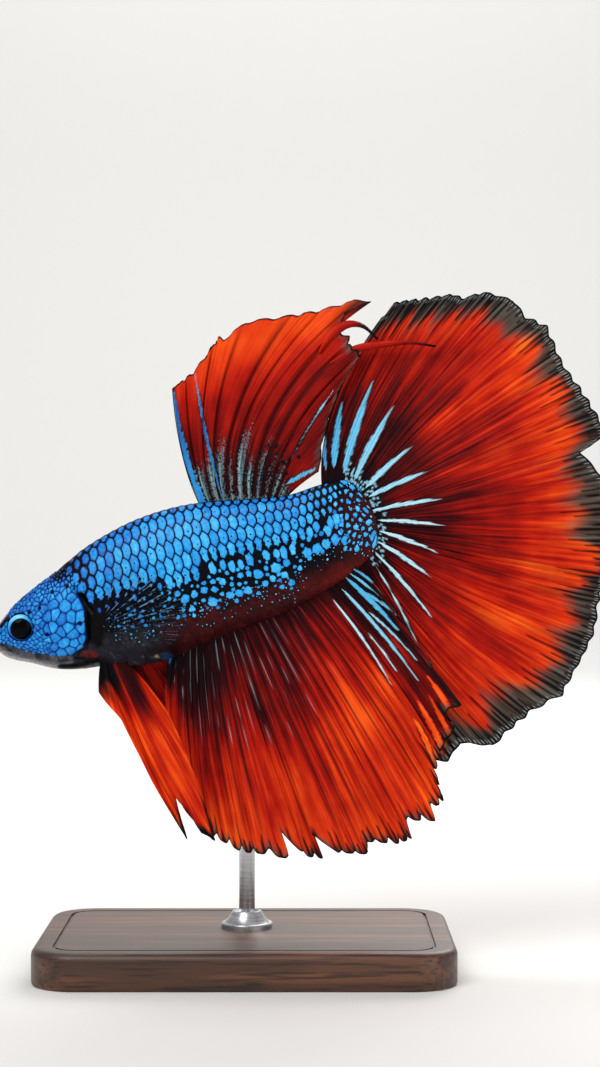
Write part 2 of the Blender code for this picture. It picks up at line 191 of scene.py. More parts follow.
# Each turned step of the ring is one extrusion: how far it rises, then its new radius.
COLLAR_RADIUS = 2.9
COLLAR_STEPS = [
    (0.45, 2.9), (0.12, 2.8), (0.03, 2.55), (0.5, 2.05), (0.55, 1.75), (0.2, 1.6),
    (0.03, 1.4), (-0.5, 0.93),
]
bpy.ops.object.select_all(action="DESELECT")
bpy.ops.mesh.primitive_circle_add(
    vertices=96, radius=COLLAR_RADIUS * MM, location=(rod_middle.x, rod_middle.y, base_high.z)
)
collar = bpy.context.object
bpy.ops.object.transform_apply(location=True, rotation=True, scale=True)
bpy.ops.object.mode_set(mode="EDIT")
bpy.ops.mesh.select_all(action="SELECT")
radius = COLLAR_RADIUS
for rise, next_radius in COLLAR_STEPS:
    share = next_radius / radius
    bpy.ops.mesh.extrude_region_move(TRANSFORM_OT_translate={"value": (0, 0, rise * MM)})
    bpy.ops.transform.resize(
        value=(share, share, 1), center_override=(rod_middle.x, rod_middle.y, 0)
    )
    radius = next_radius
bpy.ops.mesh.select_all(action="SELECT")
bpy.ops.mesh.fill_holes(sides=0)
bpy.ops.mesh.normals_make_consistent(inside=False)
bpy.ops.object.mode_set(mode="OBJECT")
bpy.ops.object.shade_smooth_by_angle(angle=math.radians(30))

# Stainless steel, ground round and brushed: fine scratches run round the rod, so the
# highlight is drawn out along it. The scratches are 0.02 mm apart, drawn at 0.08 mm.
steel, tree, shader = finish("brushed stainless steel", {"Metallic": 1.0})
where = add(tree, "TexCoord", "Object")
round_rod = add(tree, "Mapping", 0, {"Vector": where, "Scale": (300, 300, 12500)})
scratches = add(tree, "TexNoise", 0, {"Vector": round_rod, "Scale": 1.0, "Detail": 3.0})
tone = add(tree, "ValToRGB", 0, {"Fac": scratches}, stops=[(0.3, "#A8A9AB"), (0.7, "#C9CACC")])
rough = add(tree, "MapRange", 0, {"Value": scratches, "To Min": 0.2, "To Max": 0.38})
bump = add(tree, "Bump", 0, {"Height": scratches, "Strength": 0.15, "Distance": 0.00002})
feed(tree, shader, {"Base Color": tone, "Roughness": rough, "Normal": bump})
add_piece(rod, "steel_rod", steel, "stand_steel", "stand_rod")
add_piece(collar, "steel_collar", steel, "stand_steel", "stand_collar")


# ---------------------------------------------------------------------------------------
# Skin. One closed skin is cast over the whole body, from the lips to the end of the tail
# stalk: jaw, cheeks, gill covers, gill slits and throat folds are modelled in it, and the
# eyes sit in its sockets. It is painted in the ground colours that show between the scales.

# The level fish, in millimetres: u runs back from the snout, v up, w to the fish's right.
STANDARD_LENGTH = 45.0
PITCH = math.radians(17.0)
SNOUT_X, SNOUT_Z = -28.4, 36.5
BODY_WIDTH = 7.8
COAT = 0.2
# Place u, back, belly, and the half width as a share of half the greatest width.
PROFILE = [
    (0.0, 0.35, -0.95, 0.13),
    (0.3, 0.9, -1.7, 0.25),
    (0.8, 1.45, -2.35, 0.36),
    (1.6, 2.15, -2.95, 0.47),
    (3.2, 3.15, -3.8, 0.63),
    (5.8, 4.35, -5.3, 0.80),
    (8.1, 5.2, -6.05, 0.88),
    (10.3, 6.05, -6.35, 0.925),
    (12.6, 6.95, -6.95, 0.95),
    (15.5, 7.75, -7.7, 0.98),
    (18.9, 8.35, -7.85, 1.0),
    (22.8, 8.5, -7.35, 0.97),
    (26.6, 8.15, -7.1, 0.89),
    (32.0, 6.95, -6.7, 0.70),
    (36.5, 6.05, -5.85, 0.54),
    (40.0, 6.1, -4.95, 0.40),
    (42.6, 5.9, -3.9, 0.28),
    (44.2, 4.6, -2.7, 0.19),
    (STANDARD_LENGTH, 2.4, -0.9, 0.13),
]
EYE_CENTRE, EYE_RADIUS, EYE_DEPTH = (3.6, 0.5, 1.85), 1.5, 0.95
# Lines and marks on the head, in the level side view.
MOUTH_LINE = [(-0.4, -0.3), (0.6, -0.55), (1.35, -1.1), (1.75, -1.8)]
CHEEK_EDGE = [(1.3, -0.75), (3.0, -1.95), (4.6, -2.8), (6.8, -3.85), (8.2, -4.1), (9.6, -3.8)]
GILL_EDGE = [
    (9.4, 4.9), (10.4, 3.3), (10.95, 2.0), (11.15, 0.3), (10.85, -1.1), (10.4, -2.7),
    (9.8, -3.55), (8.3, -4.15), (6.6, -4.2),
]
UPPER_SLIT = [(11.0, 2.3), (11.5, 1.0), (11.85, -0.1)]
THROAT_FOLD = [(6.5, -5.1), (8.4, -5.55), (10.5, -5.45)]
THROAT_CREASE = [(8.4, -4.5), (9.8, -4.95), (11.4, -5.6)]
JAW_RIM = [(0.2, -1.5), (1.1, -2.4), (2.9, -3.4), (5.6, -5.0)]
SNOUT_BAND = [(0.1, 0.6), (1.3, 1.35), (2.3, 1.7)]
# A pale bar on the snout: partly pale skin, partly a painted highlight of wet light.
SNOUT_HIGHLIGHT_BAR = [(0.9, 1.5), (2.1, 2.35), (2.8, 2.75)]
PORES = [
    (8.15, 3.2), (6.8, 2.45), (6.3, 1.95), (5.0, 1.8), (9.95, 3.35), (6.3, -1.15), (10.2, -1.0)
]
NOSTRILS = [(1.5, 1.15), (2.05, 1.6)]
# On the nape the blue is broken into flecks.
NAPE_PATCH, NAPE_RADIUS = [(9.2, 4.9), (9.8, 5.3)], 0.95


def posed(u, v, w):
    """World places, in metres, of points of the level fish: tipped head down on its rod."""
    x = SNOUT_X + u * math.cos(PITCH) - v * math.sin(PITCH)
    z = SNOUT_Z + u * math.sin(PITCH) + v * math.cos(PITCH)
    return np.stack([x, w, z], axis=-1) * MM


def through(knots):
    """Smooth curve through rows of (parameter, values), as a function of an array."""
    rows = np.array(knots, float)
    at, values = rows[:, 0], rows[:, 1:]
    slopes = np.gradient(values, at, axis=0)

    def value(x):
        x = np.asarray(x, float)
        i = np.clip(np.searchsorted(at, x) - 1, 0, len(at) - 2)
        span = (at[i + 1] - at[i])[..., None]
        s = np.clip((x - at[i])[..., None] / span, 0, 1)
        start = values[i] * (1 + 2 * s) * (1 - s) ** 2 + slopes[i] * span * s * (1 - s) ** 2
        end = values[i + 1] * (3 - 2 * s) * s**2 + slopes[i + 1] * span * (s - 1) * s**2
        return np.moveaxis(start + end, -1, 0)

    return value


body_profile = through(PROFILE)


def broadest(back, belly):
    """Height at which the body is broadest."""
    return 0.56 * belly + 0.44 * back


def flesh(u, turn, height):
    """Places of the body's surface, height millimetres over the skin; turn 0 is the right."""
    back, belly, share = body_profile(u)
    middle = broadest(back, belly)
    reach = np.where(np.sin(turn) > 0, back - middle, middle - belly)
    v = middle + (reach - COAT + height) * np.sin(turn)
    # The sides are a little fuller than an oval's.
    half = share * BODY_WIDTH / 2 - COAT + height
    w = half * np.sign(np.cos(turn)) * np.abs(np.cos(turn)) ** 0.92
    return u, v, w


def ease(x, start, end):
    """0 up to start and 1 from end on, with a smooth rise between them."""
    s = np.clip((x - start) / (end - start), 0, 1)
    return s * s * (3 - 2 * s)


def fall(x, start, end):
    """1 up to start and 0 from end on, with a smooth fall between them."""
    return 1 - ease(x, start, end)


def rounded(x, middle, half):
    """1 where x is at the middle, and falling off on both sides as a rounded ridge does."""
    return np.exp(-(((x - middle) / half) ** 2))


def line_distance(u, v, line):
    """Distance in millimetres from a line in the side view, negative to the right of its run."""
    best = np.full(np.shape(u), 1e9)
    side = np.ones(np.shape(u))
    for (u0, v0), (u1, v1) in zip(line, line[1:]):
        du, dv = u1 - u0, v1 - v0
        share = np.clip(((u - u0) * du + (v - v0) * dv) / (du * du + dv * dv), 0, 1)
        gap = np.hypot(u - u0 - share * du, v - v0 - share * dv)
        turn = np.where(du * (v - v0) - dv * (u - u0) >= 0, 1.0, -1.0)
        side = np.where(gap < best, turn, side)
        best = np.minimum(gap, best)
    return best * side


def spots(u, v, places, radius):
    """1 inside each round spot of that radius in the side view, fading to 0 at its rim."""
    near = np.min([np.hypot(u - pu, v - pv) for pu, pv in places], axis=0)
    return fall(near, 0.6 * radius, radius)


def random_field(seed, columns, rows):
    """Smooth random values from -1 to 1 over (0..1, 0..1), with this many lumps each way."""
    grid = np.random.default_rng(seed).uniform(-1, 1, (columns + 2, rows + 2))

    def value(x, y):
        x = np.clip(x, 0, 1) * columns
        y = np.clip(y, 0, 1) * rows
        i, j = x.astype(int), y.astype(int)
        a, b = ease(x - i, 0, 1), ease(y - j, 0, 1)
        low_side = grid[i, j] * (1 - a) + grid[i + 1, j] * a
        high_side = grid[i, j + 1] * (1 - a) + grid[i + 1, j + 1] * a
        return low_side * (1 - b) + high_side * b

    return value


def head_relief(u, v):
    """How far the head's modelling stands over the plain form, in millimetres."""
    cover = line_distance(u, v, GILL_EDGE)
    cheek = line_distance(u, v, CHEEK_EDGE)
    fold = np.abs(line_distance(u, v, THROAT_FOLD))
    mouth = np.abs(line_distance(u, v, MOUTH_LINE))
    eye = np.hypot(u - EYE_CENTRE[0], v - EYE_CENTRE[1])
    # The gill cover stands up to its edge, and a groove lies behind it.
    relief = 0.2 * ease(-cover, 0, 0.2) * ease(u, 5.5, 8.5) * fall(v, 2.5, 4.5)
    open_slit = (cover >= 0) * fall(v, 2.0, 4.0) * ease(u, 8.0, 9.0)
    relief -= 0.4 * rounded(cover, 0, 0.45) * open_slit
    relief -= 0.25 * rounded(line_distance(u, v, UPPER_SLIT), 0, 0.22)
    relief += 0.22 * rounded(fold, 0, 0.4) - 0.14 * rounded(fold, 0.62, 0.16)
    relief += 0.08 * ease(cheek, -0.05, 0.15) * fall(cheek, 0.4, 2.0) * fall(u, 8, 9)
    # Lips on both sides of the mouth's slit, and a rim round the eye.
    relief += 0.1 * rounded(mouth, 0.32, 0.2) * fall(u, 1.2, 2.2)
    relief += 0.12 * rounded(eye, 1.74, 0.16) - 0.24 * rounded(mouth, 0, 0.1)
    return relief - 0.1 * spots(u, v, PORES, 0.2) - 0.16 * spots(u, v, NOSTRILS, 0.16)


def modelled(u, v, w, turn, share=1.0):
    """The body's places with the head's modelling, which fades out on the ridge and belly."""
    relief = head_relief(u, v) * ease(np.abs(np.cos(turn)), 0.1, 0.35) * share
    return u, v + 0.4 * relief * np.sin(turn), w + relief * np.sign(w)


def coordinates(piece):
    places = np.empty(len(piece.data.vertices) * 3)
    piece.data.vertices.foreach_get("co", places)
    return places.reshape(-1, 3)


def reshape(piece, places):
    piece.data.vertices.foreach_set("co", np.asarray(places, np.float32).ravel())
    piece.data.update()


def close_round(piece, places):
    """Gives a ball its new places, with its faces pointing outward and smoothly shaded."""
    reshape(piece, places)
    bpy.ops.object.mode_set(mode="EDIT")
    bpy.ops.mesh.select_all(action="SELECT")
    bpy.ops.mesh.normals_make_consistent(inside=False)
    bpy.ops.object.mode_set(mode="OBJECT")
    bpy.ops.object.shade_smooth()


def paint(piece, name, values):
    """Stores a value, or a colour, for each point of the piece, for its material to read."""
    values = np.asarray(values, np.float32)
    kind, field = ("FLOAT", "value") if values.ndim == 1 else ("FLOAT_COLOR", "color")
    if values.ndim == 2:
        values = np.column_stack([values, np.ones(len(values))])
    piece.data.attributes.new(name, kind, "POINT").data.foreach_set(field, values.ravel())


def ground_colour(u, v):
    """Skin colours under and between the scales, the same on both sides of the fish."""
    mottle = random_field(3, 60, 24)(u / STANDARD_LENGTH, (v + 9) / 18)
    flecks = random_field(4, 150, 60)(u / STANDARD_LENGTH, (v + 9) / 18)
    gill, cheek = line_distance(u, v, GILL_EDGE), line_distance(u, v, CHEEK_EDGE)

    def beside(line, full, end):
        return fall(np.abs(line_distance(u, v, line)), full, end)

    flank = fall(v + 0.9 * mottle + 0.3 * flecks, -4.4, -2.6)
    pale = ease(flecks + 0.4 * mottle, 0.35, 1.0) * fall(u, 16.5, 21) * ease(u, 11.5, 13)
    maroon = flank * ease(u + 1.5 * mottle, 16.5, 22)
    plated = (gill < 0) & (cheek > 0) & (u > 0.9) & (v < 5.0)
    chin = (cheek < 0) * fall(u, 7.4, 8.4) * ease(u, -0.5, 0.3)
    opening = fall(np.hypot((u - 11.45) / 1.05, (v + 1.9) / 2.5), 0.8, 1.0)
    slits = np.maximum(beside(UPPER_SLIT, 0.15, 0.35), beside(THROAT_FOLD, 0.3, 0.6))
    membrane = fall(np.hypot((u - 10.0) / 1.4, (v + 4.6 + 0.45 * (u - 10.0)) / 0.62), 0.5, 1.0)
    colour = np.tile(np.array(srgb("#04060F"), float), (len(u), 1))
    for code, share in (
        # The belly: smoky with pale flecks in front, maroon behind and on the tail stalk.
        ("#060508", fall(v + 0.5 * mottle, -2.0, 0.6)),
        ("#24242C", flank * (0.8 + 0.2 * flecks) * fall(u, 16, 20)),
        ("#5A5A68", 0.6 * flank * pale),
        ("#320D10", maroon),
        ("#521610", 0.6 * maroon * ease(flecks, -0.2, 0.9)),
        ("#3A0E0C", 0.75 * ease(u + 0.8 * mottle, 38.5, 43) * fall(v, 3, 5)),
        ("#620F0B", 0.7 * ease(u, 33, 40) * fall(v + 0.3 * flecks, -4.4, -2.2)),
        # Deep blue between the head's plates.
        ("#0B2A6C", plated * (0.9 - 0.9 * spots(u, v, NAPE_PATCH, NAPE_RADIUS))),
        # The chin, pale but for a dark band under the cheek; the snout's black band; its pale bar,
        # partly a painted highlight.
        ("#8A8892", chin * (0.8 + 0.2 * flecks)),
        ("#12131C", chin * fall(-cheek, 0.5, 1.1) * (0.75 + 0.25 * mottle)),
        ("#B4ABA6", 0.8 * beside(JAW_RIM, 0.1, 0.5) * chin),
        ("#040408", beside(SNOUT_BAND, 0.3, 0.5)),
        ("#8C98B4", beside(SNOUT_HIGHLIGHT_BAR, 0.12, 0.35) * (0.75 + 0.25 * flecks)),
        # The black gill opening, the red gill membrane under it and the throat's crease.
        ("#030305", np.maximum(opening, slits)),
        ("#6E170F", membrane * (0.6 + 0.4 * flecks) * ease(u, 8.6, 10.2)),
        ("#0A0405", 0.9 * beside(THROAT_CREASE, 0.08, 0.22)),
        # A blue patch and the pale vent before the anal fin; pores and nostrils.
        ("#144468", 0.6 * spots(u, v, [(18.1, -7.4)], 0.75)),
        ("#020204", np.maximum(spots(u, v, PORES, 0.24), spots(u, v, NOSTRILS, 0.2))),
        ("#B8AC84", spots(u, v, [(17.15, -7.0)], 0.32)),
    ):
        colour = colour * (1 - share[:, None]) + np.array(srgb(code)) * share[:, None]
    return colour


def quarter_round(x):
    return np.sqrt(np.clip(1 - (1 - np.clip(x, 0, 1)) ** 2, 0, 1))


bpy.ops.object.select_all(action="DESELECT")
bpy.ops.mesh.primitive_uv_sphere_add(segments=224, ring_count=340, radius=1)
skin = bpy.context.object
ball = coordinates(skin)
length_share = np.arccos(np.clip(ball[:, 2], -1, 1)) / math.pi
turn = np.arctan2(ball[:, 1], ball[:, 0])
# The head holds nearly half of the rings, for its finer modelling.
u = np.interp(length_share, (0, 0.03, 0.46, 0.985, 1), (0, 0.3, 12.6, 44.95, STANDARD_LENGTH))
ends = quarter_round(length_share / 0.03) * quarter_round((1 - length_share) / 0.015)
u, v, w = flesh(u, turn, 0.0)
_, middle, _ = flesh(u, turn * 0, 0.0)
u, v, w = modelled(
    u, middle + (v - middle) * ends, w * ends, turn, ease(length_share, 0, 0.03)
)
# The socket is sunk straight in, so that its wall stands close round the eyeball.
eye = np.hypot(u - EYE_CENTRE[0], v - EYE_CENTRE[1])
sunk = fall(eye, 1.42, 1.57) * np.sign(w)
w = np.where(np.abs(w) > 1.0, w - sunk * np.maximum(np.abs(w) - 1.3, 0), w)
close_round(skin, posed(u, v, w))
paint(skin, "ground", ground_colour(u, v))

# Cast resin, painted by airbrush and sealed with satin varnish, as wet fish skin looks.
# Freckles of pigment are 0.15 mm across, drawn at 0.25 mm.
skin_paint, tree, shader = finish("varnished fish skin", {"Roughness": 0.4, "IOR": 1.16})
where = add(tree, "TexCoord", "Object")
ground = add(tree, "Attribute", "Color", attribute_name="ground")
freckles = add(tree, "TexNoise", 0, {"Vector": where, "Scale": 4000.0, "Detail": 3.0})
shade = add(tree, "ValToRGB", 0, {"Fac": freckles}, stops=[(0.3, 0.55), (0.72, 1.5)])
freckled = add(
    tree, "Mix", 2, {"Factor": 1.0, 6: ground, 7: shade},
    data_type="RGBA", blend_type="MULTIPLY",
)
wrinkles = add(tree, "TexNoise", 0, {"Vector": where, "Scale": 2200.0, "Detail": 4.0})
bump = add(tree, "Bump", 0, {"Height": wrinkles, "Strength": 0.5, "Distance": 0.00008})
feed(tree, shader, {"Base Color": freckled, "Normal": bump})
add_piece(
    skin, "body_skin", skin_paint, "dark_skin", "head", "lower_jaw", "gill_cover_left",
    "gill_cover_right", "gill_membrane_left", "gill_membrane_right", "trunk", "tail_stalk",
)


# ---------------------------------------------------------------------------------------
# Eyes. Each is a painted glass ball set in its socket: a wide black pupil, a bright blue
# ring round it that is palest above, and a thin dark rim where it meets the skin.

PUPIL_RADIUS, PUPIL_DROP = 1.2, 0.17

# Blown glass, painted from behind and fire polished: a deep black pupil and a foil-like
# blue ring under a hard clear gloss.
eye_glass, tree, shader = finish("painted glass eye", {"Roughness": 0.08, "IOR": 1.13})
iris = add(tree, "Attribute", "Fac", attribute_name="iris")
upper = add(tree, "Attribute", "Fac", attribute_name="upper")
where = add(tree, "TexCoord", "Object")
# The ring's fibres run 0.15 mm apart.
fibres = add(tree, "TexNoise", 0, {"Vector": where, "Scale": 6000.0, "Detail": 2.0})
ring_shade = add(tree, "Math", 0, {0: fibres, 1: 0.3, 2: upper}, operation="MULTIPLY_ADD")
ring = add(
    tree, "ValToRGB", 0, {"Fac": ring_shade},
    stops=[(0.1, "#1F2A80"), (0.98, "#CFF4FF"), (0.45, "#2572CE"), (0.75, "#41B4EE")],
)
eye_colour = add(tree, "Mix", 2, {"Factor": iris, 6: "#030306", 7: ring}, data_type="RGBA")
feed(tree, shader, {"Base Color": eye_colour})

for side, sign in (("left", -1), ("right", 1)):
    bpy.ops.object.select_all(action="DESELECT")
    bpy.ops.mesh.primitive_uv_sphere_add(segments=96, ring_count=64, radius=1)
    eyeball = bpy.context.object
    a, b, out = coordinates(eyeball).T
    pupil = np.hypot(a * EYE_RADIUS, b * EYE_RADIUS + PUPIL_DROP)
    rim = np.hypot(a, b) * EYE_RADIUS
    # The ring stands a little round the pupil, which is the dark window of the lens.
    step = 0.05 * ease(pupil, PUPIL_RADIUS - 0.06, PUPIL_RADIUS + 0.02) - 0.04
    w = EYE_CENTRE[2] + EYE_DEPTH * out + step * (out > 0)
    close_round(
        eyeball, posed(EYE_CENTRE[0] + a * EYE_RADIUS, EYE_CENTRE[1] + b * EYE_RADIUS, sign * w)
    )
    iris = ease(pupil, PUPIL_RADIUS - 0.02, PUPIL_RADIUS + 0.03) * fall(rim, 1.42, 1.49)
    paint(eyeball, "iris", iris * (out > -0.2))
    paint(eyeball, "upper", 0.08 + 0.58 * ease(b, -0.6, 0.9) + 0.32 * fall(b, -0.9, -0.65))
    add_piece(eyeball, f"glass_eye_{side}", eye_glass, "eye", f"eye_{side}")


# ---------------------------------------------------------------------------------------
# Scales. Thin overlapping plates in rows along the body, their front edges in the skin
# and their rounded rear edges free, each over the front of the next. They are cut from
# thin film, painted dark like the skin, and laid on from the tail forward.

ROWS_ROUND = 24
OUTLINE = 16
# The part of a scale that shows, in scale pitches back and rows across: a tall hexagon
# whose sides bow toward the tail. Its corners are cut, which gives the outline's points.
hexagon = np.array([
    (0, 0.68), (0.5, 0.32), (0.58, 0), (0.5, -0.32), (0, -0.68), (-0.5, -0.32), (-0.42, 0),
    (-0.5, 0.32),
])
next_corner = np.roll(hexagon, -1, axis=0)
SHOWN = np.stack([
    0.88 * hexagon + 0.12 * next_corner, 0.12 * hexagon + 0.88 * next_corner
], axis=1).reshape(-1, 2)
# Turn of a point by its share of the way round the body, from the belly up the right side.
# The body is about 2.1 times as tall as it is wide.
TURNS = np.linspace(-math.pi / 2, 3 * math.pi / 2, 721)
steps = np.hypot(2.1 * np.cos(TURNS), np.sin(TURNS))
SHARES = np.concatenate([[0], np.cumsum((steps[1:] + steps[:-1]) / 2)])
SHARES = SHARES / SHARES[-1]


def turn_at(share):
    return np.interp(share % 1.0, SHARES, TURNS)


def girth(u):
    """Way round the body at u, in millimetres."""
    back, belly, share = body_profile(u)
    tall, wide = (back - belly) / 2, share * BODY_WIDTH / 2
    return math.pi * (3 * (tall + wide) - np.sqrt((3 * tall + wide) * (tall + 3 * wide)))


def level_of(roots):
    """u and v of places given as (u, share of the way round)."""
    return flesh(roots[..., 0], turn_at(roots[..., 1]), 0.0)[:2]


def shingles(name, roots, along, across, rise, dome, wall, lift_back=0.0):
    """One mesh of many small plates on the body, each closed, with the bake map of a coat.

    roots are (u, share of the way round); along and across are each plate's outline round
    its root, in millimetres; rise is its height over the skin at the root, dome the extra
    height of its middle, wall its thickness, and lift_back its slope toward the tail.
    """
    count, points = along.shape
    places, flat = [], []
    for size, height in ((0.0, dome), (0.7, 0.6 * dome), (1.0, 0.0), (0.97, -wall)):
        a, b = (along * size, across * size) if size else (along[:, :1] * 0, across[:, :1] * 0)
        u = np.clip(roots[:, :1] + a, 0.02, STANDARD_LENGTH - 0.02)
        turn = turn_at(roots[:, 1:] + b / girth(roots[:, :1]))
        on_body = flesh(u, turn, rise[:, None] + height + lift_back * a)
        places.append(posed(*modelled(*on_body, turn)))
        flat.append(np.stack([a, b], axis=-1))
    flat = np.concatenate(flat, axis=1)
    inner, outer, lower = (1 + ring * points + np.arange(points) for ring in range(3))
    polygons = np.stack([0 * inner, inner, np.roll(inner, -1)], axis=1).tolist()
    for near, far in ((inner, outer), (outer, lower)):
        sides = [near, far, np.roll(far, -1), np.roll(near, -1)]
        polygons += np.stack(sides, axis=1).tolist()
    polygons.append(lower[::-1].tolist())
    per_plate = 1 + 3 * points
    everywhere = [
        [corner + plate * per_plate for corner in polygon]
        for plate in range(count)
        for polygon in polygons
    ]
    mesh = bpy.data.meshes.new(name)
    mesh.from_pydata(np.concatenate(places, axis=1).reshape(-1, 3), [], everywhere)
    piece = bpy.data.objects.new(name, mesh)
    bpy.context.scene.collection.objects.link(piece)
    # Each plate is a patch 0.003 across at its root's place on the body, unrolled.
    corners = np.empty(len(mesh.loops), int)
    mesh.loops.foreach_get("vertex_index", corners)
    spread = np.abs(along).max(axis=1)[:, None, None] + np.abs(across).max(axis=1)[:, None, None]
    patch = np.stack([roots[:, 0] / STANDARD_LENGTH, roots[:, 1] % 1.0], axis=-1)[:, None]
    patch = (patch * 0.98 + 0.01 + 0.003 * flat / spread).reshape(-1, 2)
    mesh.uv_layers.new(name="OFBake").data.foreach_set("uv", patch[corners].ravel())
    shape = bmesh.new()
    shape.from_mesh(mesh)
    bmesh.ops.recalc_face_normals(shape, faces=shape.faces)
    shape.to_mesh(mesh)
    shape.free()
    bpy.ops.object.select_all(action="DESELECT")
    bpy.context.view_layer.objects.active = piece
    piece.select_set(True)
    bpy.ops.object.shade_smooth_by_angle(angle=math.radians(38))
    return piece, per_plate


def scale_pitch(u):
    """Distance from one scale of a row to the next."""
    return np.interp(u, (10, 34, 40), (1.05, 1.0, 0.78))


# Rows along the body, each row half a scale behind the last, up to the gill opening.
roots = []
for row in range(ROWS_ROUND):
    root = np.array([9.0 + 0.52 * (row % 2), (row + 0.5) / ROWS_ROUND])
    while root[0] < 40.9:
        if line_distance(*level_of(root), GILL_EDGE + [(6.6, -12.0)]) > 0.55:
            roots.append(root.copy())
        root[0] += scale_pitch(root[0])
roots = np.array(roots)
dice = np.random.default_rng(11)
size, pitch = girth(roots[:, 0]) / ROWS_ROUND, scale_pitch(roots[:, 0])
angles = 2 * math.pi * np.arange(OUTLINE) / OUTLINE
# A scale's front is longer than what shows, and lies under the one before it.
tucked = np.where(SHOWN[:, 0] < 0, 1.2 * SHOWN[:, 0], SHOWN[:, 0])
reach = pitch[:, None] * tucked * dice.uniform(0.97, 1.03, (len(roots), OUTLINE))
width = size[:, None] * SHOWN[:, 1] * dice.uniform(0.98, 1.02, (len(roots), OUTLINE))
rise = 0.075 + dice.uniform(-0.008, 0.008, len(roots))
scales, per_scale = shingles("scales", roots, reach, width, rise, 0.03, 0.05, 0.075)
x, _, z = coordinates(scales).T / MM - np.array([[SNOUT_X], [0], [SNOUT_Z]])
u, v = x * math.cos(PITCH) + z * math.sin(PITCH), z * math.cos(PITCH) - x * math.sin(PITCH)
shades = np.repeat(dice.uniform(0.8, 1.25, len(roots)), per_scale)
paint(scales, "ground", ground_colour(u, v) * shades[:, None])

# Polyester film, painted and varnished: dark, with a wet gloss on each raised edge.
scale_film, tree, shader = finish("varnished dark scales", {"Roughness": 0.4, "IOR": 1.16})
ground = add(tree, "Attribute", "Color", attribute_name="ground")
where = add(tree, "TexCoord", "Object")
# Growth rings in a scale are 0.05 mm apart, drawn as streaks of 0.12 mm.
rings = add(tree, "TexNoise", 0, {"Vector": where, "Scale": 8000.0, "Detail": 2.0})
shade = add(tree, "ValToRGB", 0, {"Fac": rings}, stops=[(0.3, 0.6), (0.7, 1.35)])
ringed = add(
    tree, "Mix", 2, {"Factor": 1.0, 6: ground, 7: shade},
    data_type="RGBA", blend_type="MULTIPLY",
)
bump = add(tree, "Bump", 0, {"Height": rings, "Strength": 0.3, "Distance": 0.00003})
feed(tree, shader, {"Base Color": ringed, "Normal": bump})
add_piece(scales, "body_scales", scale_film, "dark_skin")


# ---------------------------------------------------------------------------------------
# Blue layer. On each scale of the upper body a patch of pearl blue lies over the dark
# plate and leaves its rim bare, which draws the dark net. Lower down the patches shrink to
# ragged blots, and past them there are only pale specks. All are thin drops of paint.

# Heights down to which every scale is blue, and where the last blots end, along the body.
FULL_EDGE = np.array([
    (11, 0.6), (14.3, 1.2), (18, 1.2), (20, 0.9), (21.6, 0.4), (23.2, 0.8), (26.5, 1.1),
    (28.4, 0.8), (31, 0.7), (34, 0.8), (36.2, 1.1), (38.4, 1.8), (41, 3.0),
])
BLOT_EDGE = np.array([
    (11, -1.6), (14.7, -2.7), (16.9, -3.3), (18.6, -2.6), (21, -3.4), (22.4, -3.6),
    (26.8, -3.5), (29.3, -3.6), (31, -3.0), (33.8, -4.0), (36.2, -1.5), (39.7, -1.0),
    (41.6, -0.9), (43.5, -1.7),
])
# The largest blots, in the level side view, with their radius.
LARGE_BLOTS = [
    (36.5, -0.9, 0.62), (37.7, -0.8, 0.58), (38.8, -0.6, 0.55), (39.9, -0.4, 0.55), (39.4, 0.8, 0.5),
    (32.7, -1.5, 0.6), (34.0, -1.3, 0.46), (33.4, -2.5, 0.42), (33.9, -3.6, 0.42), (30.6, -1.6, 0.6),
    (31.1, -2.8, 0.38), (27.0, -2.9, 0.52), (28.0, -3.0, 0.5), (29.0, -3.0, 0.52), (24.9, -3.1, 0.6),
    (25.5, -1.8, 0.44), (24.4, -1.5, 0.42), (23.2, -1.6, 0.44), (22.1, -1.8, 0.54), (22.5, -3.1, 0.4),
]


def height_on(edge, u):
    return np.interp(u, edge[:, 0], edge[:, 1])


def behind_gill(u, v):
    """Where the gill's black opening lies, bare of scales."""
    return np.hypot((u - 11.45) / 1.2, (v + 1.9) / 2.6) < 1


def root_on(side, u, v):
    """The root, as (u, share of the way round), of the flank's point (u, v)."""
    back, belly, _ = body_profile(u)
    middle = broadest(back, belly)
    reach = back - middle if v > middle else middle - belly
    turn = np.arcsin(np.clip((v - middle) / reach, -1, 1))
    share = np.interp(turn, TURNS, SHARES)
    return u, float(share if side > 0 else (1 - share) % 1.0)


u, v = level_of(roots)
clump = random_field(29, 34, 26)(roots[:, 0] / STANDARD_LENGTH, roots[:, 1])
# How far down each root is: 0 at the last whole patch and 1 at the last blot.
full_v, blot_v = height_on(FULL_EDGE, u), height_on(BLOT_EDGE, u)
down = (full_v - v) / (full_v - blot_v) + 0.14 * clump
down = np.where(behind_gill(u, v), 9, down)
kept = down < 0
whole = roots[kept]
# The patches of the two rows on the ridge are low and leave room for one more between.
ridge = np.abs(whole[:, 1] - 0.5) * ROWS_ROUND < 1
whole[:, 1] += np.where(ridge, 0.16 / ROWS_ROUND * np.sign(whole[:, 1] - 0.5), 0)
# A dark rim 0.07 mm wide stays bare all round, and a wider one toward the tail.
bare = 1 - 0.26 * ease(whole[:, :1], 36.5, 41) - 0.2 * ridge[:, None]
# The patches over the nape are small and broken.
nape = fall(whole[:, :1], 11.5, 14) * (np.abs(whole[:, 1:] - 0.5) * ROWS_ROUND < 4)
bare = bare - 0.12 * nape - 0.45 * spots(*level_of(whole), NAPE_PATCH, NAPE_RADIUS)[:, None]
whole_reach = (pitch[kept, None] - 0.14) * SHOWN[:, 0] * bare
whole_width = (size[kept, None] - 0.13) * SHOWN[:, 1] * (bare - 0.2 * ridge[:, None])
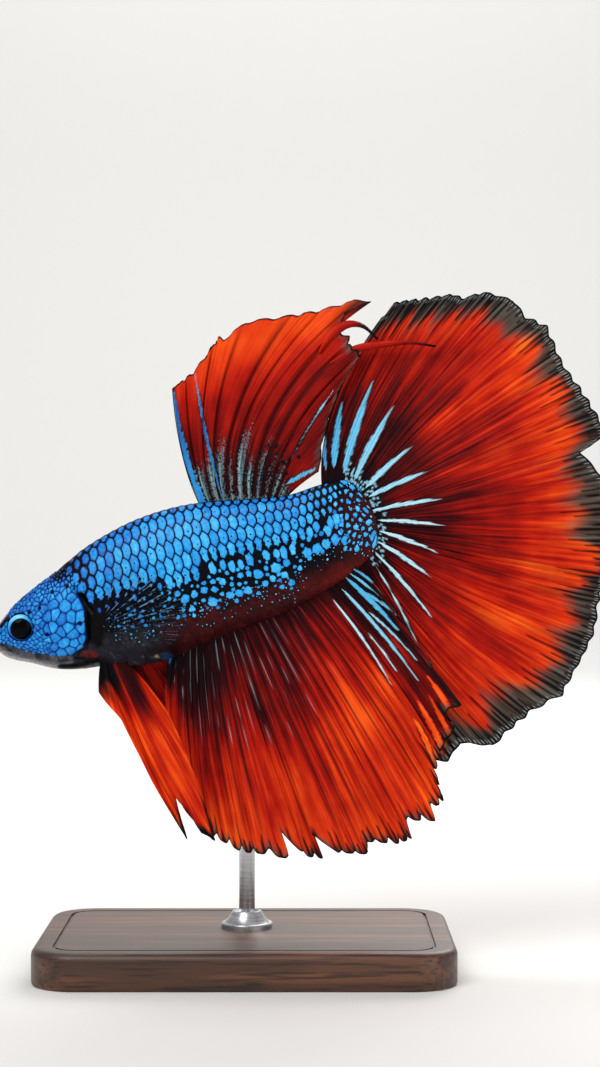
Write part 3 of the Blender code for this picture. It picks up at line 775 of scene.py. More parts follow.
# The last whole row has a bitten lower edge.
bitten = (down[kept, None] > -0.3) & (whole_width * np.sign(whole[:, 1:] - 0.5) > -0.1)
bites = np.where(bitten, dice.uniform(0.62, 1.0, whole_width.shape), 1.0)
bites *= 1 - 0.2 * nape * dice.random(whole_width.shape)
large = np.array([
    (*root_on(side, u, v), radius) for side in (1, -1) for u, v, radius in LARGE_BLOTS
])
beside = np.hypot(
    roots[:, None, 0] - large[:, 0], (roots[:, None, 1] - large[:, 1]) * girth(roots[:, :1])
)
free = (beside > large[:, 2] + 0.42).all(axis=1)
# Under the pectoral fin the blots are fewer and smaller, and painted darker as the fin's shade.
under_fin = (u < 20.0) & (v < 1.0)
odds = np.where(under_fin, 0.55, 0.9)
picked = (down >= 0) & (down < 1) & free & (dice.random(len(roots)) < odds)
blots, shaded_blots = roots[picked], under_fin[picked]
count = len(blots)
# The first rows of blots are nearly whole scales, the next ones are small and scattered.
first = down[picked] < 0.3
blot_size = np.where(first, dice.uniform(0.34, 0.44, count), dice.uniform(0.17, 0.38, count))
blot_size *= np.where(shaded_blots, 0.62, 1.0)
stretch = np.where(first, dice.uniform(1.1, 1.7, count), dice.uniform(0.9, 1.35, count))
slip = np.stack([dice.uniform(-0.12, 0.12, count), dice.uniform(-0.006, 0.006, count)], axis=-1)
blots = np.concatenate([blots + slip, large[:, :2]])
blot_size = np.concatenate([blot_size, large[:, 2]])[:, None]
stretch = np.concatenate([stretch, dice.uniform(0.95, 1.15, len(large))])[:, None]
lobes = dice.integers(3, 8, len(blots))[:, None]
ragged = 1 + 0.1 * np.sin(lobes * angles + dice.uniform(0, 6, (len(blots), 1)))
ragged *= dice.uniform(0.9, 1.1, (len(blots), OUTLINE))
# One more row, small and deep blue, runs along the ridge from the nape to the dorsal fin.
crest = np.array([(u, 0.5) for u in np.arange(12.1, 26.2, 1.02)])
crest_size = dice.uniform(0.9, 1.1, (len(crest), 1))
blue_roots = np.concatenate([whole, blots, crest])
blue_reach = np.concatenate([
    whole_reach * bites, blot_size * ragged * np.cos(angles),
    0.4 * crest_size * np.cos(angles),
])
blue_width = np.concatenate([
    whole_width * bites, blot_size * stretch * ragged * np.sin(angles),
    0.36 * crest_size * np.sin(angles),
])
blue_rise = np.where(np.arange(len(blue_roots)) < len(whole), 0.095, 0.11)
patches, _ = shingles(
    "patches", blue_roots, blue_reach, blue_width, blue_rise, 0.035, 0.03, 0.075
)


def blue_tone(u, share, seed):
    """How pale a patch is, from deep blue at 0 to white at 1, the same on both sides."""
    back = 1 - 2 * np.abs(share - 0.5)
    tone = 0.54 - 0.08 * ease(back, 0.74, 0.95) - 0.14 * fall(u, 11, 20)
    return tone + np.random.default_rng(seed).uniform(-0.08, 0.08, len(u))


def shaded(tone, points):
    """The tone of every point of the plates: deeper toward each plate's edge."""
    rings = np.repeat((0.05, 0.03, -0.12, -0.3), (1, points, points, points))
    return (tone[:, None] + rings).ravel()


tone = blue_tone(blue_roots[:, 0], blue_roots[:, 1], 5)
tone[: len(whole)] -= 0.06 * ridge
tone[len(whole) :] += 0.04
# Painted shade of the pectoral fin deepens the blots under it.
tone[len(whole) : len(whole) + count] -= 0.24 * shaded_blots
tone[-len(crest) :] -= 0.1
paint(patches, "tone", shaded(tone, OUTLINE))

# Pearl lacquer, sprayed in thin layers over black: clear sky blue, with a fine grain of
# crystals and a wet gloss.
blue_pearl, tree, shader = finish("blue pearl lacquer", {"Roughness": 0.36, "IOR": 1.25})
where = add(tree, "TexCoord", "Object")
# Crystal grains are 0.02 mm, drawn at 0.07 mm; the thickness clouds over 0.4 mm.
grains = add(tree, "TexNoise", 0, {"Vector": where, "Scale": 14000.0, "Detail": 2.0})
clouds = add(tree, "TexNoise", 0, {"Vector": where, "Scale": 2600.0, "Detail": 2.0})
shade = add(tree, "Attribute", "Fac", attribute_name="tone")
shade = add(tree, "Math", 0, {0: grains, 1: 0.5, 2: shade}, operation="MULTIPLY_ADD")
shade = add(tree, "Math", 0, {0: clouds, 1: 0.4, 2: shade}, operation="MULTIPLY_ADD")
shade = add(tree, "Math", 0, {0: shade, 1: 0.45}, operation="SUBTRACT")
blue = add(
    tree, "ValToRGB", 0, {"Fac": shade},
    stops=[
        (0.06, "#04081C"), (1.0, "#E4F6FF"), (0.2, "#093A8C"), (0.34, "#1266BE"),
        (0.52, "#2296DE"), (0.7, "#44B8F2"), (0.85, "#92DCFA"),
    ],
)
bump = add(tree, "Bump", 0, {"Height": grains, "Strength": 0.25, "Distance": 0.00003})
feed(tree, shader, {"Base Color": blue, "Normal": bump})
add_piece(patches, "blue_scale_patches", blue_pearl, "blue_scales")


# ---------------------------------------------------------------------------------------
# Head plates. The head has no rows of scales but a mosaic of flat blue plates: small and
# crazed over the brow and round the eye, large on the gill cover, and beads at the tail's
# root. Each is a thin drop of the same pearl blue, with a dark groove all round it.

CORNERS = 20
# The higher this power, the sharper the corners where three plates meet.
SHARPNESS = 14
# Middles of the gill cover's large plates, in the level side view.
COVER_PLATES = [
    (8.0, 2.1), (7.8, 0.7), (7.1, -0.5), (8.3, 0.1), (9.2, 1.4), (10.1, 2.2), (7.9, -1.3),
    (9.5, 0.0), (10.4, -0.3), (9.1, -1.9), (10.3, -1.5), (7.9, -2.6), (7.1, -1.7), (8.9, -3.0),
    (10.0, -2.9), (6.3, -2.7), (6.0, -1.7), (5.1, -2.6), (7.2, -3.6), (8.3, -3.5), (8.7, 2.6),
    (9.5, 2.9), (6.9, 0.8), (6.4, -0.5), (5.7, -0.6), (5.4, -1.5), (10.5, 1.1), (8.8, 3.4),
]


def scatter(seed, tries, low, high, spacing, wanted, started=(), squash=1.0):
    """Points (u, share) thrown at random, kept where wanted and no closer than spacing.
    Distances round the body count squash times."""
    dice = np.random.default_rng(seed)
    kept = [tuple(point) for point in started]
    for u, share in zip(dice.uniform(*low, tries), dice.uniform(*high, tries)):
        at_u, at_v = level_of(np.array([u, share]))
        if not wanted(at_u, at_v, share):
            continue
        near = np.array(kept).reshape(-1, 2)
        gap = np.hypot(near[:, 0] - u, (near[:, 1] - share) * girth(u) * squash)
        if (gap >= spacing(at_u, at_v)).all():
            kept.append((u, share))
    return np.array(kept)


def mosaic(roots, groove, largest, keep):
    """Outlines of the cells round the roots: the soft minimum of the half-way lines to the
    neighbours, less half a groove, drawn in where they would leave the plates' area."""
    angles = 2 * math.pi * np.arange(CORNERS) / CORNERS
    reach = np.zeros((len(roots), CORNERS))
    for i, (u, share) in enumerate(roots):
        du = roots[:, 0] - u
        db = (roots[:, 1] - share) * girth(u)
        gap = np.hypot(du, db)
        near = np.argsort(gap)[1:11]
        half = gap[near] / 2 - groove(u) / 2
        facing = np.cos(angles[:, None] - np.arctan2(db[near], du[near])[None, :])
        inverse = (np.maximum(facing, 0) / np.maximum(half, 0.03)) ** SHARPNESS
        reach[i] = (inverse.sum(axis=1) + (1 / largest) ** SHARPNESS) ** (-1 / SHARPNESS)
    for _ in range(12):
        u = roots[:, :1] + reach * np.cos(angles)
        share = roots[:, 1:] + reach * np.sin(angles) / girth(roots[:, :1])
        u, v = level_of(np.stack([u, share], axis=-1))
        reach = reach * np.where(keep(u, v), 1.0, 0.88)
    return reach * np.cos(angles), reach * np.sin(angles)


def blue_of_head(u, v):
    """Whether (u, v) is on the blue of the head: clear of eye, jaw, gill opening and band."""
    cover = line_distance(u, v, GILL_EDGE) < np.where(v > 2.3, 0.95, -0.1)
    ragged = 0.1 + 0.16 * np.sin(5.1 * u) * np.sin(13.0 * u + 1)
    cheek = (line_distance(u, v, CHEEK_EDGE) > ragged) | (u > 9.6)
    pore = spots(u, v, PORES, 0.3) < 0.5
    eye = np.hypot(u - EYE_CENTRE[0], v - EYE_CENTRE[1]) > 1.56
    snout = (v < 0.5 + 0.42 * u) | (u > 2.7)
    return cover & cheek & eye & snout & pore


def on_head(u, v, share):
    clear = abs(line_distance(u, v, UPPER_SLIT)) > 0.4 and abs(share - 0.5) * girth(u) > 0.2
    return clear and blue_of_head(u, v) and u > 0.7


plates, head_roots = [], []
for side, span in ((1, (0.02, 0.5)), (-1, (0.5, 0.98))):
    head_roots.append(scatter(
        41 + side, 9000, (0.7, 11.2), span, lambda u, v: 0.34 if u < 6.0 or v > 2.6 else 0.8,
        on_head, [root_on(side, u, v) for u, v in COVER_PLATES], 0.75,
    ))
    # The beads keep clear of the last scales and blots before them.
    before = blue_roots[(blue_roots[:, 0] > 39.2) & ((blue_roots[:, 1] < 0.5) == (side > 0))]
    beads = scatter(
        53 + side, 1500, (40.6, 44.2), span, lambda u, v: 0.72 + 0.2 * math.sin(9 * u + 5 * v),
        lambda u, v, share: -1.9 < v < 5.4, before,
    )
    along, across = mosaic(beads, lambda u: 0.2, 0.52, lambda u, v: True)
    shrunk = np.random.default_rng(59).uniform(0.45, 1.0, (len(beads), 1))
    plates.append([cells[len(before) :] for cells in (beads, along * shrunk, across * shrunk)])
head_roots = np.concatenate(head_roots)
plates.append([
    head_roots,
    *mosaic(head_roots, lambda u: 0.05 if u < 6.0 else 0.08, 0.9, blue_of_head),
])
plate_roots, along, across = (np.concatenate(cells) for cells in zip(*plates))
plate_u, plate_v = plate_roots[:, 0], level_of(plate_roots)[1]
dice = np.random.default_rng(17)
# The plates of the nape are small and dark, with bare skin between them.
nape = ease(plate_u, 6.5, 8.5) * ease(plate_v, 3.3, 4.3) * (plate_u < 30)
shrunk = 1 - nape * dice.uniform(0.0, 0.25, len(nape))
patch = spots(plate_u, plate_v, NAPE_PATCH, NAPE_RADIUS)
shrunk = (shrunk - dice.uniform(0.35, 0.75, len(nape)) * patch)[:, None]
rise = dice.uniform(0.06, 0.09, len(plate_roots)) + 0.03 * (plate_u > 30)
head_plates, _ = shingles(
    "mosaic", plate_roots, along * shrunk, across * shrunk, rise, 0.05, 0.1
)
crown = fall(np.abs(plate_roots[:, 1] - 0.5) * girth(plate_u), 0.9, 2.0) * (plate_u < 30)
tone = blue_tone(plate_u, plate_u * 0 + 0.3, 6) + 0.04
tone -= 0.06 * (plate_u < 6) + 0.12 * np.maximum(nape, crown)
paint(head_plates, "tone", shaded(tone, CORNERS))
add_piece(head_plates, "blue_head_plates", blue_pearl, "blue_scales")


def on_dark_flank(u, v, share):
    depth = height_on(BLOT_EDGE, u) - v
    thin = depth < 1.6 * abs(math.sin(7.3 * u + 31 * share)) + 0.3
    return (-1.0 < depth and thin and v > -6.6) or u > 42.5


def among_blots(u, v, share):
    under_fin = u < 19.5 and v < 0.6 and math.sin(31 * u + 17 * v) < 0.5
    among = height_on(BLOT_EDGE, u) - 0.2 < v < height_on(FULL_EDGE, u) - 0.3
    return among and not behind_gill(u, v) and not under_fin


# Small flecks of blue between the blots, tiny pale specks that thin out below them, and a
# black dot near the middle of some of the blue scales.
flecks, specks = [], []
for side, span in ((1, (0.04, 0.46)), (-1, (0.54, 0.96))):
    started = blots[(blots[:, 1] < 0.5) == (side > 0)]
    near = scatter(71 + side, 1500, (12.5, 41.5), span, lambda u, v: 0.62, among_blots, started)
    flecks.append(near[len(started) :])
    specks.append(scatter(61 + side, 1400, (12.5, 44.6), span, lambda u, v: 0.34, on_dark_flank))
flecks, specks = np.concatenate(flecks), np.concatenate(specks)
dice = np.random.default_rng(23)
tones = [dice.uniform(0.4, 0.6, len(flecks)), dice.uniform(0.55, 0.85, len(specks))]
speck_size = dice.uniform(0.025, 0.07, len(specks))
speck_size *= np.where(dice.random(len(specks)) < 0.12, 1.7, 1)
sizes = [dice.uniform(0.1, 0.27, len(flecks)), speck_size]
dots = whole[(dice.random(len(whole)) < 0.45) & (whole[:, 0] > 12)]
slip = [dice.uniform(-0.12, 0.14, len(dots)), dice.uniform(-0.008, 0.008, len(dots))]
specks = np.concatenate([flecks, specks, dots + np.stack(slip, axis=-1)])
tones = np.concatenate([*tones, np.full(len(dots), -0.1)])
sizes = np.concatenate([*sizes, dice.uniform(0.05, 0.095, len(dots))])[:, None]
along = sizes * dice.uniform(0.8, 1.3, (len(specks), OUTLINE // 2)) * np.cos(angles[::2])
across = sizes * dice.uniform(0.8, 1.3, (len(specks), OUTLINE // 2)) * np.sin(angles[::2])
rise = np.full(len(specks), 0.15)
speck_piece, per_speck = shingles("specks", specks, along, across, rise, 0.015, 0.08)
paint(speck_piece, "tone", np.repeat(tones, per_speck))
add_piece(speck_piece, "pale_specks", blue_pearl, "blue_scales")


# ---------------------------------------------------------------------------------------
# Dorsal fin. One thin sheet on a fan of soft rays along the back, gathered in long folds
# that sweep backward. It is cast from dyed film, creased along its rays, and its foot is
# set in a slot in the back. Two long streamers hang from its rear edge.

# What the film's dye and paint follow; each is stored for every point of a fin.
MARKINGS = ("dye_and_glow", "calm", "fold", "smoke", "ink", "frost", "ticks", "streak", "azure")
FILM_WALL = 0.2


def even(rows):
    """Rows of values as knots that are evenly spaced from 0 to 1."""
    return [(i / (len(rows) - 1), *row) for i, row in enumerate(rows)]


def fan(columns, steps, roots, margin, leans, scallop):
    """A fine grid between roots and margin. It gives the piece and, for each point, its share
    of the way from the first ray to the last and along its own ray, its u and v, the length
    of its ray, and how many millimetres the first share counts for there.

    roots are feet from the first ray to the last, margin the tips as (ray share, u, v) and
    leans the rays' turns in degrees. scallop(t) is how far the edge is cut in, in mm.
    """
    bpy.ops.object.select_all(action="DESELECT")
    bpy.ops.mesh.primitive_grid_add(x_subdivisions=columns, y_subdivisions=steps, size=1)
    piece = bpy.context.object
    t, r = (coordinates(piece)[:, :2] + 0.5).T
    # The steps are finest at the root and at the margin, where the markings are.
    r = r - 0.11 * np.sin(2 * math.pi * r)
    foot = through(even(roots))
    lean_at = through(even([(turn,) for turn in leans]))
    knots = np.array(margin, float)

    def ray(t):
        root_u, root_v = foot(t)
        run_u = np.interp(t, knots[:, 0], knots[:, 1]) - root_u
        run_v = np.interp(t, knots[:, 0], knots[:, 2]) - root_v
        length = np.hypot(run_u, run_v)
        kept = 1 - scallop(t) / length
        return root_u, root_v, run_u * kept, run_v * kept, length * kept

    def place(t, r):
        root_u, root_v, run_u, run_v, _ = ray(t)
        # A ray sets out at its lean, aimed at a point 0.45 of its length away.
        a = np.radians(lean_at(t)[0])
        handle_u = 0.45 * (run_u * np.cos(a) - run_v * np.sin(a))
        handle_v = 0.45 * (run_u * np.sin(a) + run_v * np.cos(a))
        u = root_u + 2 * r * (1 - r) * handle_u + r * r * run_u
        v = root_v + 2 * r * (1 - r) * handle_v + r * r * run_v
        return u, v

    before, after = np.clip(t - 0.004, 0, 1), np.clip(t + 0.004, 0, 1)
    (u0, v0), (u1, v1) = place(before, r), place(after, r)
    across = np.hypot(u1 - u0, v1 - v0) / (after - before)
    return piece, t, r, place(t, r), ray(t)[4], across


def wave(t, count, shift=0.0):
    """A wave along t, this many to the whole fin, shifted on by a share of one."""
    return np.sin(2 * math.pi * (count * t + shift))


def creases(t, r, across, lines, power=2):
    """1 along the middle of each line, fading over its half width in mm; lines are
    (ray share at the root, at the margin, half width, r it starts at, r it ends at)."""
    found = np.zeros(len(t))
    for t_root, t_tip, half, start, end in lines:
        gap = np.abs(t - t_root - (t_tip - t_root) * r) * across
        fade = ease(r, start - 0.04, start + 0.04) * fall(r, end - 0.15, end)
        found = np.maximum(found, fade * np.exp(-((gap / half) ** power)))
    return found


def needles(t, edge, across, count, longest, seed):
    """Dark points that taper inward from the margin, up to this many mm long."""
    dice = np.random.default_rng(seed)
    middle = (np.arange(count) + dice.uniform(0.25, 0.75, count)) / count
    reach = longest * dice.uniform(0.3, 1.0, count) ** 1.6
    k = np.clip((t * count).astype(int), 0, count - 1)
    wide = 0.27 * np.clip(1 - edge / reach[k], 0, 1) ** 0.8
    gap = np.abs(t - middle[k]) * across
    return np.where(edge < reach[k], fall(gap / np.maximum(wide, 0.01), 0.6, 1.2), 0)


def strokes(u, v, marks):
    """Painted streaks, drawn out to a point at each end: where they lie, how blue they are
    and where their dark borders lie. marks are (u and v where one starts, the same where it
    ends, greatest half width, blueness)."""
    found, blue, border = np.zeros(len(u)), np.zeros(len(u)), np.zeros(len(u))
    for k, (u0, v0, u1, v1, half, blueness) in enumerate(marks):
        du, dv = u1 - u0, v1 - v0
        long = math.hypot(du, dv)
        q = ((u - u0) * du + (v - v0) * dv) / long**2
        on = np.clip(q, 0, 1)
        gap = ((u - u0) * dv - (v - v0) * du) / long
        gap = np.abs(gap + 0.02 * long * np.sin(math.pi * on))
        notches = random_field(200 + k, int(4 * long), 1)(q, 0 * q)
        wide = half * np.sin(math.pi * on**0.75) ** 0.8 * (1 + 0.2 * notches)
        inside = (q > 0) & (q < 1)
        mark = np.where(inside, fall(gap / np.maximum(wide, 0.02), 0.8, 1.15), 0)
        blue = np.where(mark > found, blueness, blue)
        found = np.maximum(found, mark)
        rim = np.where(inside, fall(gap / (wide + 0.17), 0.7, 1.2), 0)
        border = np.maximum(border, rim * ease(q, 0.02, 0.2) * fall(q, 0.75, 1))
    return found, blue, border


def thicken(piece, wall):
    """Gives a flat sheet its wall, half of it to each side."""
    piece.data.uv_layers[0].name = "OFBake"
    added = piece.modifiers.new("thickness", "SOLIDIFY")
    added.thickness = wall * MM
    added.offset = 0
    bpy.ops.object.modifier_apply(modifier="thickness")
    bpy.ops.object.shade_smooth_by_angle(angle=math.radians(60))


def finish_fin(piece, name, nodes, places, wall, weave, marks):
    """Gives the sheet its places (u, v, w), its weave, its markings and its wall."""
    reshape(piece, posed(*places))
    for marking in MARKINGS:
        paint(piece, marking, marks.get(marking, 0 * places[0]))
    paint(piece, "weave", np.stack(weave, axis=-1))
    thicken(piece, wall)
    add_piece(piece, name, membrane_dye_and_light, "red_fin", *nodes)


# Dyed polyurethane film, pressed over a ribbed former: deep red where it is thick at the root,
# orange where it thins, and airbrushed black at the edge. The brighter orange is partly painted
# light shining through the thin film, and the folds are painted dark as their shade. It is satin,
# and the pressed fibres of the rays streak it along them with painted sheen and shade.
membrane_dye_and_light, tree, shader = finish("dyed fin membrane with painted light", {"Roughness": 0.45, "IOR": 1.13})
marking = {name: add(tree, "Attribute", "Fac", attribute_name=name) for name in MARKINGS}
weave = add(tree, "Attribute", "Vector", attribute_name="weave")
where = add(tree, "TexCoord", "Object")
# The weave counts fibres across the sheet, and millimetres along them: fibres 8 mm long.
fibre_way = add(tree, "Mapping", 0, {"Vector": weave, "Scale": (1.0, 0.12, 1.0)})
fibres = add(tree, "TexNoise", 0, {"Vector": fibre_way, "Scale": 1.0, "Detail": 3.0})
blush = add(tree, "TexNoise", 0, {"Vector": where, "Scale": 260.0, "Detail": 2.0})
# Grains of pigment are 0.05 mm across, drawn at 0.12 mm.
grain = add(tree, "TexNoise", 0, {"Vector": where, "Scale": 7000.0, "Detail": 2.0})
# The fibres streak the film lighter and darker along the rays, as painted sheen and shade.
streaks = add(
    tree, "MapRange", 0,
    {"Value": fibres, "From Min": 0.3, "From Max": 0.7, "To Min": -0.15, "To Max": 0.15},
)
# Where the film is calm, the fibres' painted sheen and shade hardly show.
silky = add(tree, "MapRange", 0, {"Value": marking["calm"], "To Min": 1.0, "To Max": 0.25})
dye_and_glow = add(
    tree, "Math", 0, {0: streaks, 1: silky, 2: marking["dye_and_glow"]}, operation="MULTIPLY_ADD"
)
dye_and_glow = add(tree, "Math", 0, {0: blush, 1: 0.3, 2: dye_and_glow}, operation="MULTIPLY_ADD")
film = add(
    tree, "ValToRGB", 0, {"Fac": dye_and_glow},
    stops=[
        (0.1, "#120205"), (1.0, "#FC681C"), (0.26, "#3C0609"), (0.42, "#760C09"),
        (0.58, "#AA1709"), (0.74, "#D2330E"), (0.88, "#EC5014"),
    ],
)
smoke = add(tree, "ValToRGB", 0, {"Fac": fibres}, stops=[(0.36, "#0C1210"), (0.66, "#4C5850")])
frost = add(
    tree, "ValToRGB", 0, {"Fac": fibres},
    stops=[(0.34, "#203A42"), (0.66, "#A2BCB8"), (0.5, "#5A808A")],
)
# The frost is made of separate grains 0.2 mm across, and breaks up where it thins.
clumps = add(tree, "TexNoise", 0, {"Vector": where, "Scale": 4200.0, "Detail": 2.0})
clumps = add(
    tree, "Math", 0, {0: clumps, 1: 2.2, 2: marking["frost"]}, operation="MULTIPLY_ADD"
)
clumps = add(tree, "MapRange", 0, {"Value": clumps, "From Min": 1.5, "From Max": 1.75})
# Short pale ticks stand side by side along the edge, 0.45 mm apart.
ticks = add(
    tree, "TexWave", "Fac", {"Vector": weave, "Scale": 0.45, "Distortion": 2.5, "Detail": 1.0}
)
ticks = add(tree, "MapRange", 0, {"Value": ticks, "From Min": 0.82, "From Max": 0.99})
frosted, ticked = (
    add(tree, "Math", 0, {0: pattern, 1: marking[name]}, operation="MULTIPLY")
    for pattern, name in ((clumps, "frost"), (ticks, "ticks"))
)
# The streaks go from white through turquoise to a deep azure.
azure = add(
    tree, "Math", 0, {0: grain, 1: 0.3, 2: marking["azure"]}, operation="MULTIPLY_ADD"
)
streak = add(
    tree, "ValToRGB", 0, {"Fac": azure},
    stops=[
        (0.06, "#D6E8EC"), (1.0, "#164E9C"), (0.24, "#A0D6E8"), (0.5, "#5AB8E0"),
        (0.78, "#2A86CE"),
    ],
)
# The folds are painted dark as the shade in their creases.
for share, colour in (
    (marking["fold"], "#200509"), (marking["smoke"], smoke), (marking["ink"], "#07070C"),
    (frosted, frost), (ticked, "#98A4A4"), (marking["streak"], streak),
):
    film = add(tree, "Mix", 2, {"Factor": share, 6: film, 7: colour}, data_type="RGBA")
bump = add(tree, "Bump", 0, {"Height": fibres, "Strength": 0.5, "Distance": 0.00012})
feed(tree, shader, {"Base Color": film, "Normal": bump})

# Folds of the dorsal sheet: ray share at the root, at the margin, half width in mm, and the r each
# starts and ends at. The sheet dips along each, painted dark there as shade.
DORSAL_FOLDS = [
    (0.10, 0.06, 0.18, 0.0, 1.05), (0.17, 0.17, 0.24, 0.05, 1.05), (0.27, 0.275, 0.32, 0.05, 1.05),
    (0.36, 0.36, 0.36, 0.05, 1.05), (0.46, 0.44, 0.38, 0.05, 1.05), (0.56, 0.51, 0.44, 0.05, 1.05),
    (0.66, 0.60, 0.38, 0.05, 1.05), (0.75, 0.68, 0.42, 0.05, 1.05), (0.84, 0.76, 0.38, 0.05, 1.05),
    (0.92, 0.86, 0.3, 0.05, 1.05),
]
# Streaks are given by where they start and end on the level fish, half width, blueness.
DORSAL_STREAKS = [
    (29.2, 7.6, 30.4, 22.0, 0.12, 0.75), (36.6, 7.2, 40.3, 7.9, 0.24, 0.4),
    (37.6, 9.4, 44.6, 15.6, 0.11, 0.2),
]


def dorsal_scallop(t):
    return 0.3 * np.abs(np.cos(math.pi * 21 * t)) ** 3 * (t > 0.05)


fin_piece, t, r, (u, v), length, across = fan(
    300, 110,
    roots=[(26.6, 7.2), (31.0, 6.2), (35.2, 5.2)],
    margin=[
        (0.0, 27.4, 21.2), (0.03, 28.4, 21.6), (0.10, 30.4, 22.4), (0.17, 33.2, 24.5),
        (0.21, 34.2, 25.3), (0.23, 34.6, 24.9), (0.28, 37.6, 26.0), (0.36, 42.6, 25.2),
        (0.44, 46.2, 24.8), (0.50, 49.9, 24.7), (0.53, 51.8, 24.1), (0.56, 48.6, 23.6),
        (0.60, 47.2, 22.0), (0.64, 48.2, 20.9), (0.68, 47.9, 20.1), (0.72, 48.3, 19.4),
        (0.77, 48.9, 18.6), (0.81, 47.6, 17.6), (0.86, 45.6, 15.8), (0.91, 43.4, 12.9),
        (0.96, 41.6, 10.0), (1.0, 40.7, 7.6),
    ],
    leans=(12, 22, 38, 27, 10),
    scallop=dorsal_scallop,
)
edge = (1 - r) * length
leading = t * across
lumps = random_field(71, 40, 6)(t, r)
folds = creases(t, r, across, DORSAL_FOLDS, 2.4)
drift = np.interp(t, (0, 0.5, 0.6, 0.8, 0.88, 1), (0, -0.5, -1.5, -1.6, -1.0, -0.1))
w = drift * r + 0.3 * r**1.5 * wave(t, 5, 0.1)
w += 0.32 * folds * ease(r, 0.05, 0.5) + 0.03 * wave(t, 60, 0.25) * ease(r, 0, 0.3)
streak, blue, border = strokes(u, v, DORSAL_STREAKS)
# The first ray is a blue blade that narrows upward and is nicked along its rear edge.
blade = 0.1 + 0.85 * np.sqrt(1 - r) * (1 + 0.3 * random_field(73, 60, 1)(r, 0 * r))
on_blade = ease(leading, 0.12, 0.2) * fall(leading / blade, 0.88, 1.08)
border = np.maximum(border, fall(leading / (blade + 0.22), 0.8, 1.05))
blue = np.where(on_blade > streak, 0.62 + 0.2 * ease(r, 0.3, 0.8), blue)
# Rows of black spots stand over the foot, between the rays' frosted bases.
rows = np.abs(np.cos(math.pi * 17 * t)) ** 12
dice = np.random.default_rng(77)
black_spots = list(zip(dice.uniform(28.6, 39, 34), dice.uniform(7.2, 12.5, 34)))
finish_fin(
    fin_piece, "dorsal_membrane", ["dorsal_fin"], (u, v, w), FILM_WALL,
    (t * 75, r * length, 0 * t),
    {
        "dye_and_glow": 0.08 + 0.22 * ease(r, 0.12, 0.42) + 0.05 * lumps - 0.08 * ease(t, 0.7, 1.0)
        + 0.36 * ease(r, 0.45, 1.0) * fall(t, 0.45, 0.75)
        - 0.16 * fall(t, 0.05, 0.2),
        "calm": 1 + 0 * t,
        # The folds are painted dark as their shade, and the foot is dark as well.
        "fold": np.maximum(
            0.85 * folds * (1 - 0.4 * ease(r, 0.6, 1.0)), 0.5 * fall(r, 0.1, 0.35)
        ),
        "ink": np.maximum.reduce([
            fall(edge, 0.08, 0.24),
            fall(leading, 0.1, 0.22),
            0.9 * fall(edge, 0.5, 3.0) * ease(t, 0.48, 0.53) * fall(t, 0.53, 0.6),
            0.95 * spots(u, v, black_spots, 0.3),
            0.92 * rows * fall(r, 0.3, 0.55),
            0.8 * border,
        ]),
        "smoke": 0.6 * fall(edge, 0.2, 1.1 + 0.8 * lumps) * ease(t, 0.4, 0.6),
        "frost": 0.86 * fall(r + 0.1 * lumps, 0.1, 0.5) * (1 - 0.9 * folds)
        * (1 - 0.3 * ease(t, 0.85, 1)),
        "streak": np.maximum(streak, on_blade),
        "azure": blue,
    },
)

# Each streamer is a narrow strip of the same film along a path of (u, v, w), tapered to
# its end: its name, path, half width and how far along it turns black.
for name, path, half, tint in (
    (
        "dorsal_hook",
        [(44.4, 20.2, -1.35), (46.2, 21.6, -1.5), (48.2, 22.2, -1.6), (49.9, 21.5, -1.65),
         (51.1, 19.6, -1.5)],
        0.5, 0.62,
    ),
    (
        "dorsal_filament",
        [(45.2, 18.6, -1.5), (48.2, 19.3, -1.6), (51.4, 18.9, -1.7), (54.4, 18.2, -1.75),
         (57.0, 17.0, -1.6)],
        0.4, 0.78,
    ),
):
    bpy.ops.object.select_all(action="DESELECT")
    bpy.ops.mesh.primitive_grid_add(x_subdivisions=48, y_subdivisions=8, size=1)
    streamer = bpy.context.object
    q, side = (coordinates(streamer)[:, :2] + [0.5, 0]).T
    along_path = through(even(path))
    u, v, w = along_path(q)
    du, dv, _ = along_path(np.clip(q + 0.01, 0, 1)) - along_path(np.clip(q - 0.01, 0, 1))
    wide = 2 * half * side * (0.1 + 0.9 * ease(q, 0.0, 0.3)) * (1 - ease(q, 0.3, 1.0) * 0.92)
    u, v = u - wide * dv / np.hypot(du, dv), v + wide * du / np.hypot(du, dv)
    w = w - 0.35 * half * np.cos(2 * math.pi * side)
    finish_fin(
        streamer, name, [], (u, v, w), FILM_WALL, (side * 6, q * 9, 0 * q),
        {
            # Its upper edge is painted lighter as a highlight, and both edges are darker.
            "dye_and_glow": 0.46 - 0.16 * q + 0.2 * side,
            "calm": 1 + 0 * q,
            "fold": 0.6 * ease(np.abs(side), 0.3, 0.5) * ease(q, 0.1, 0.35),
            "ink": ease(q, tint - 0.1, tint + 0.2),
        },
    )


# ---------------------------------------------------------------------------------------
# Tail fin. The half moon itself: a sheet on rays that fork again and again until some
# seventy tips reach the edge, spread through half a circle. It is dyed from maroon to orange,
# its brightest orange partly painted light through the thin film and its folds painted dark as
# shade, airbrushed smoky black at the edge, with pale enamel streaks on its main rays.

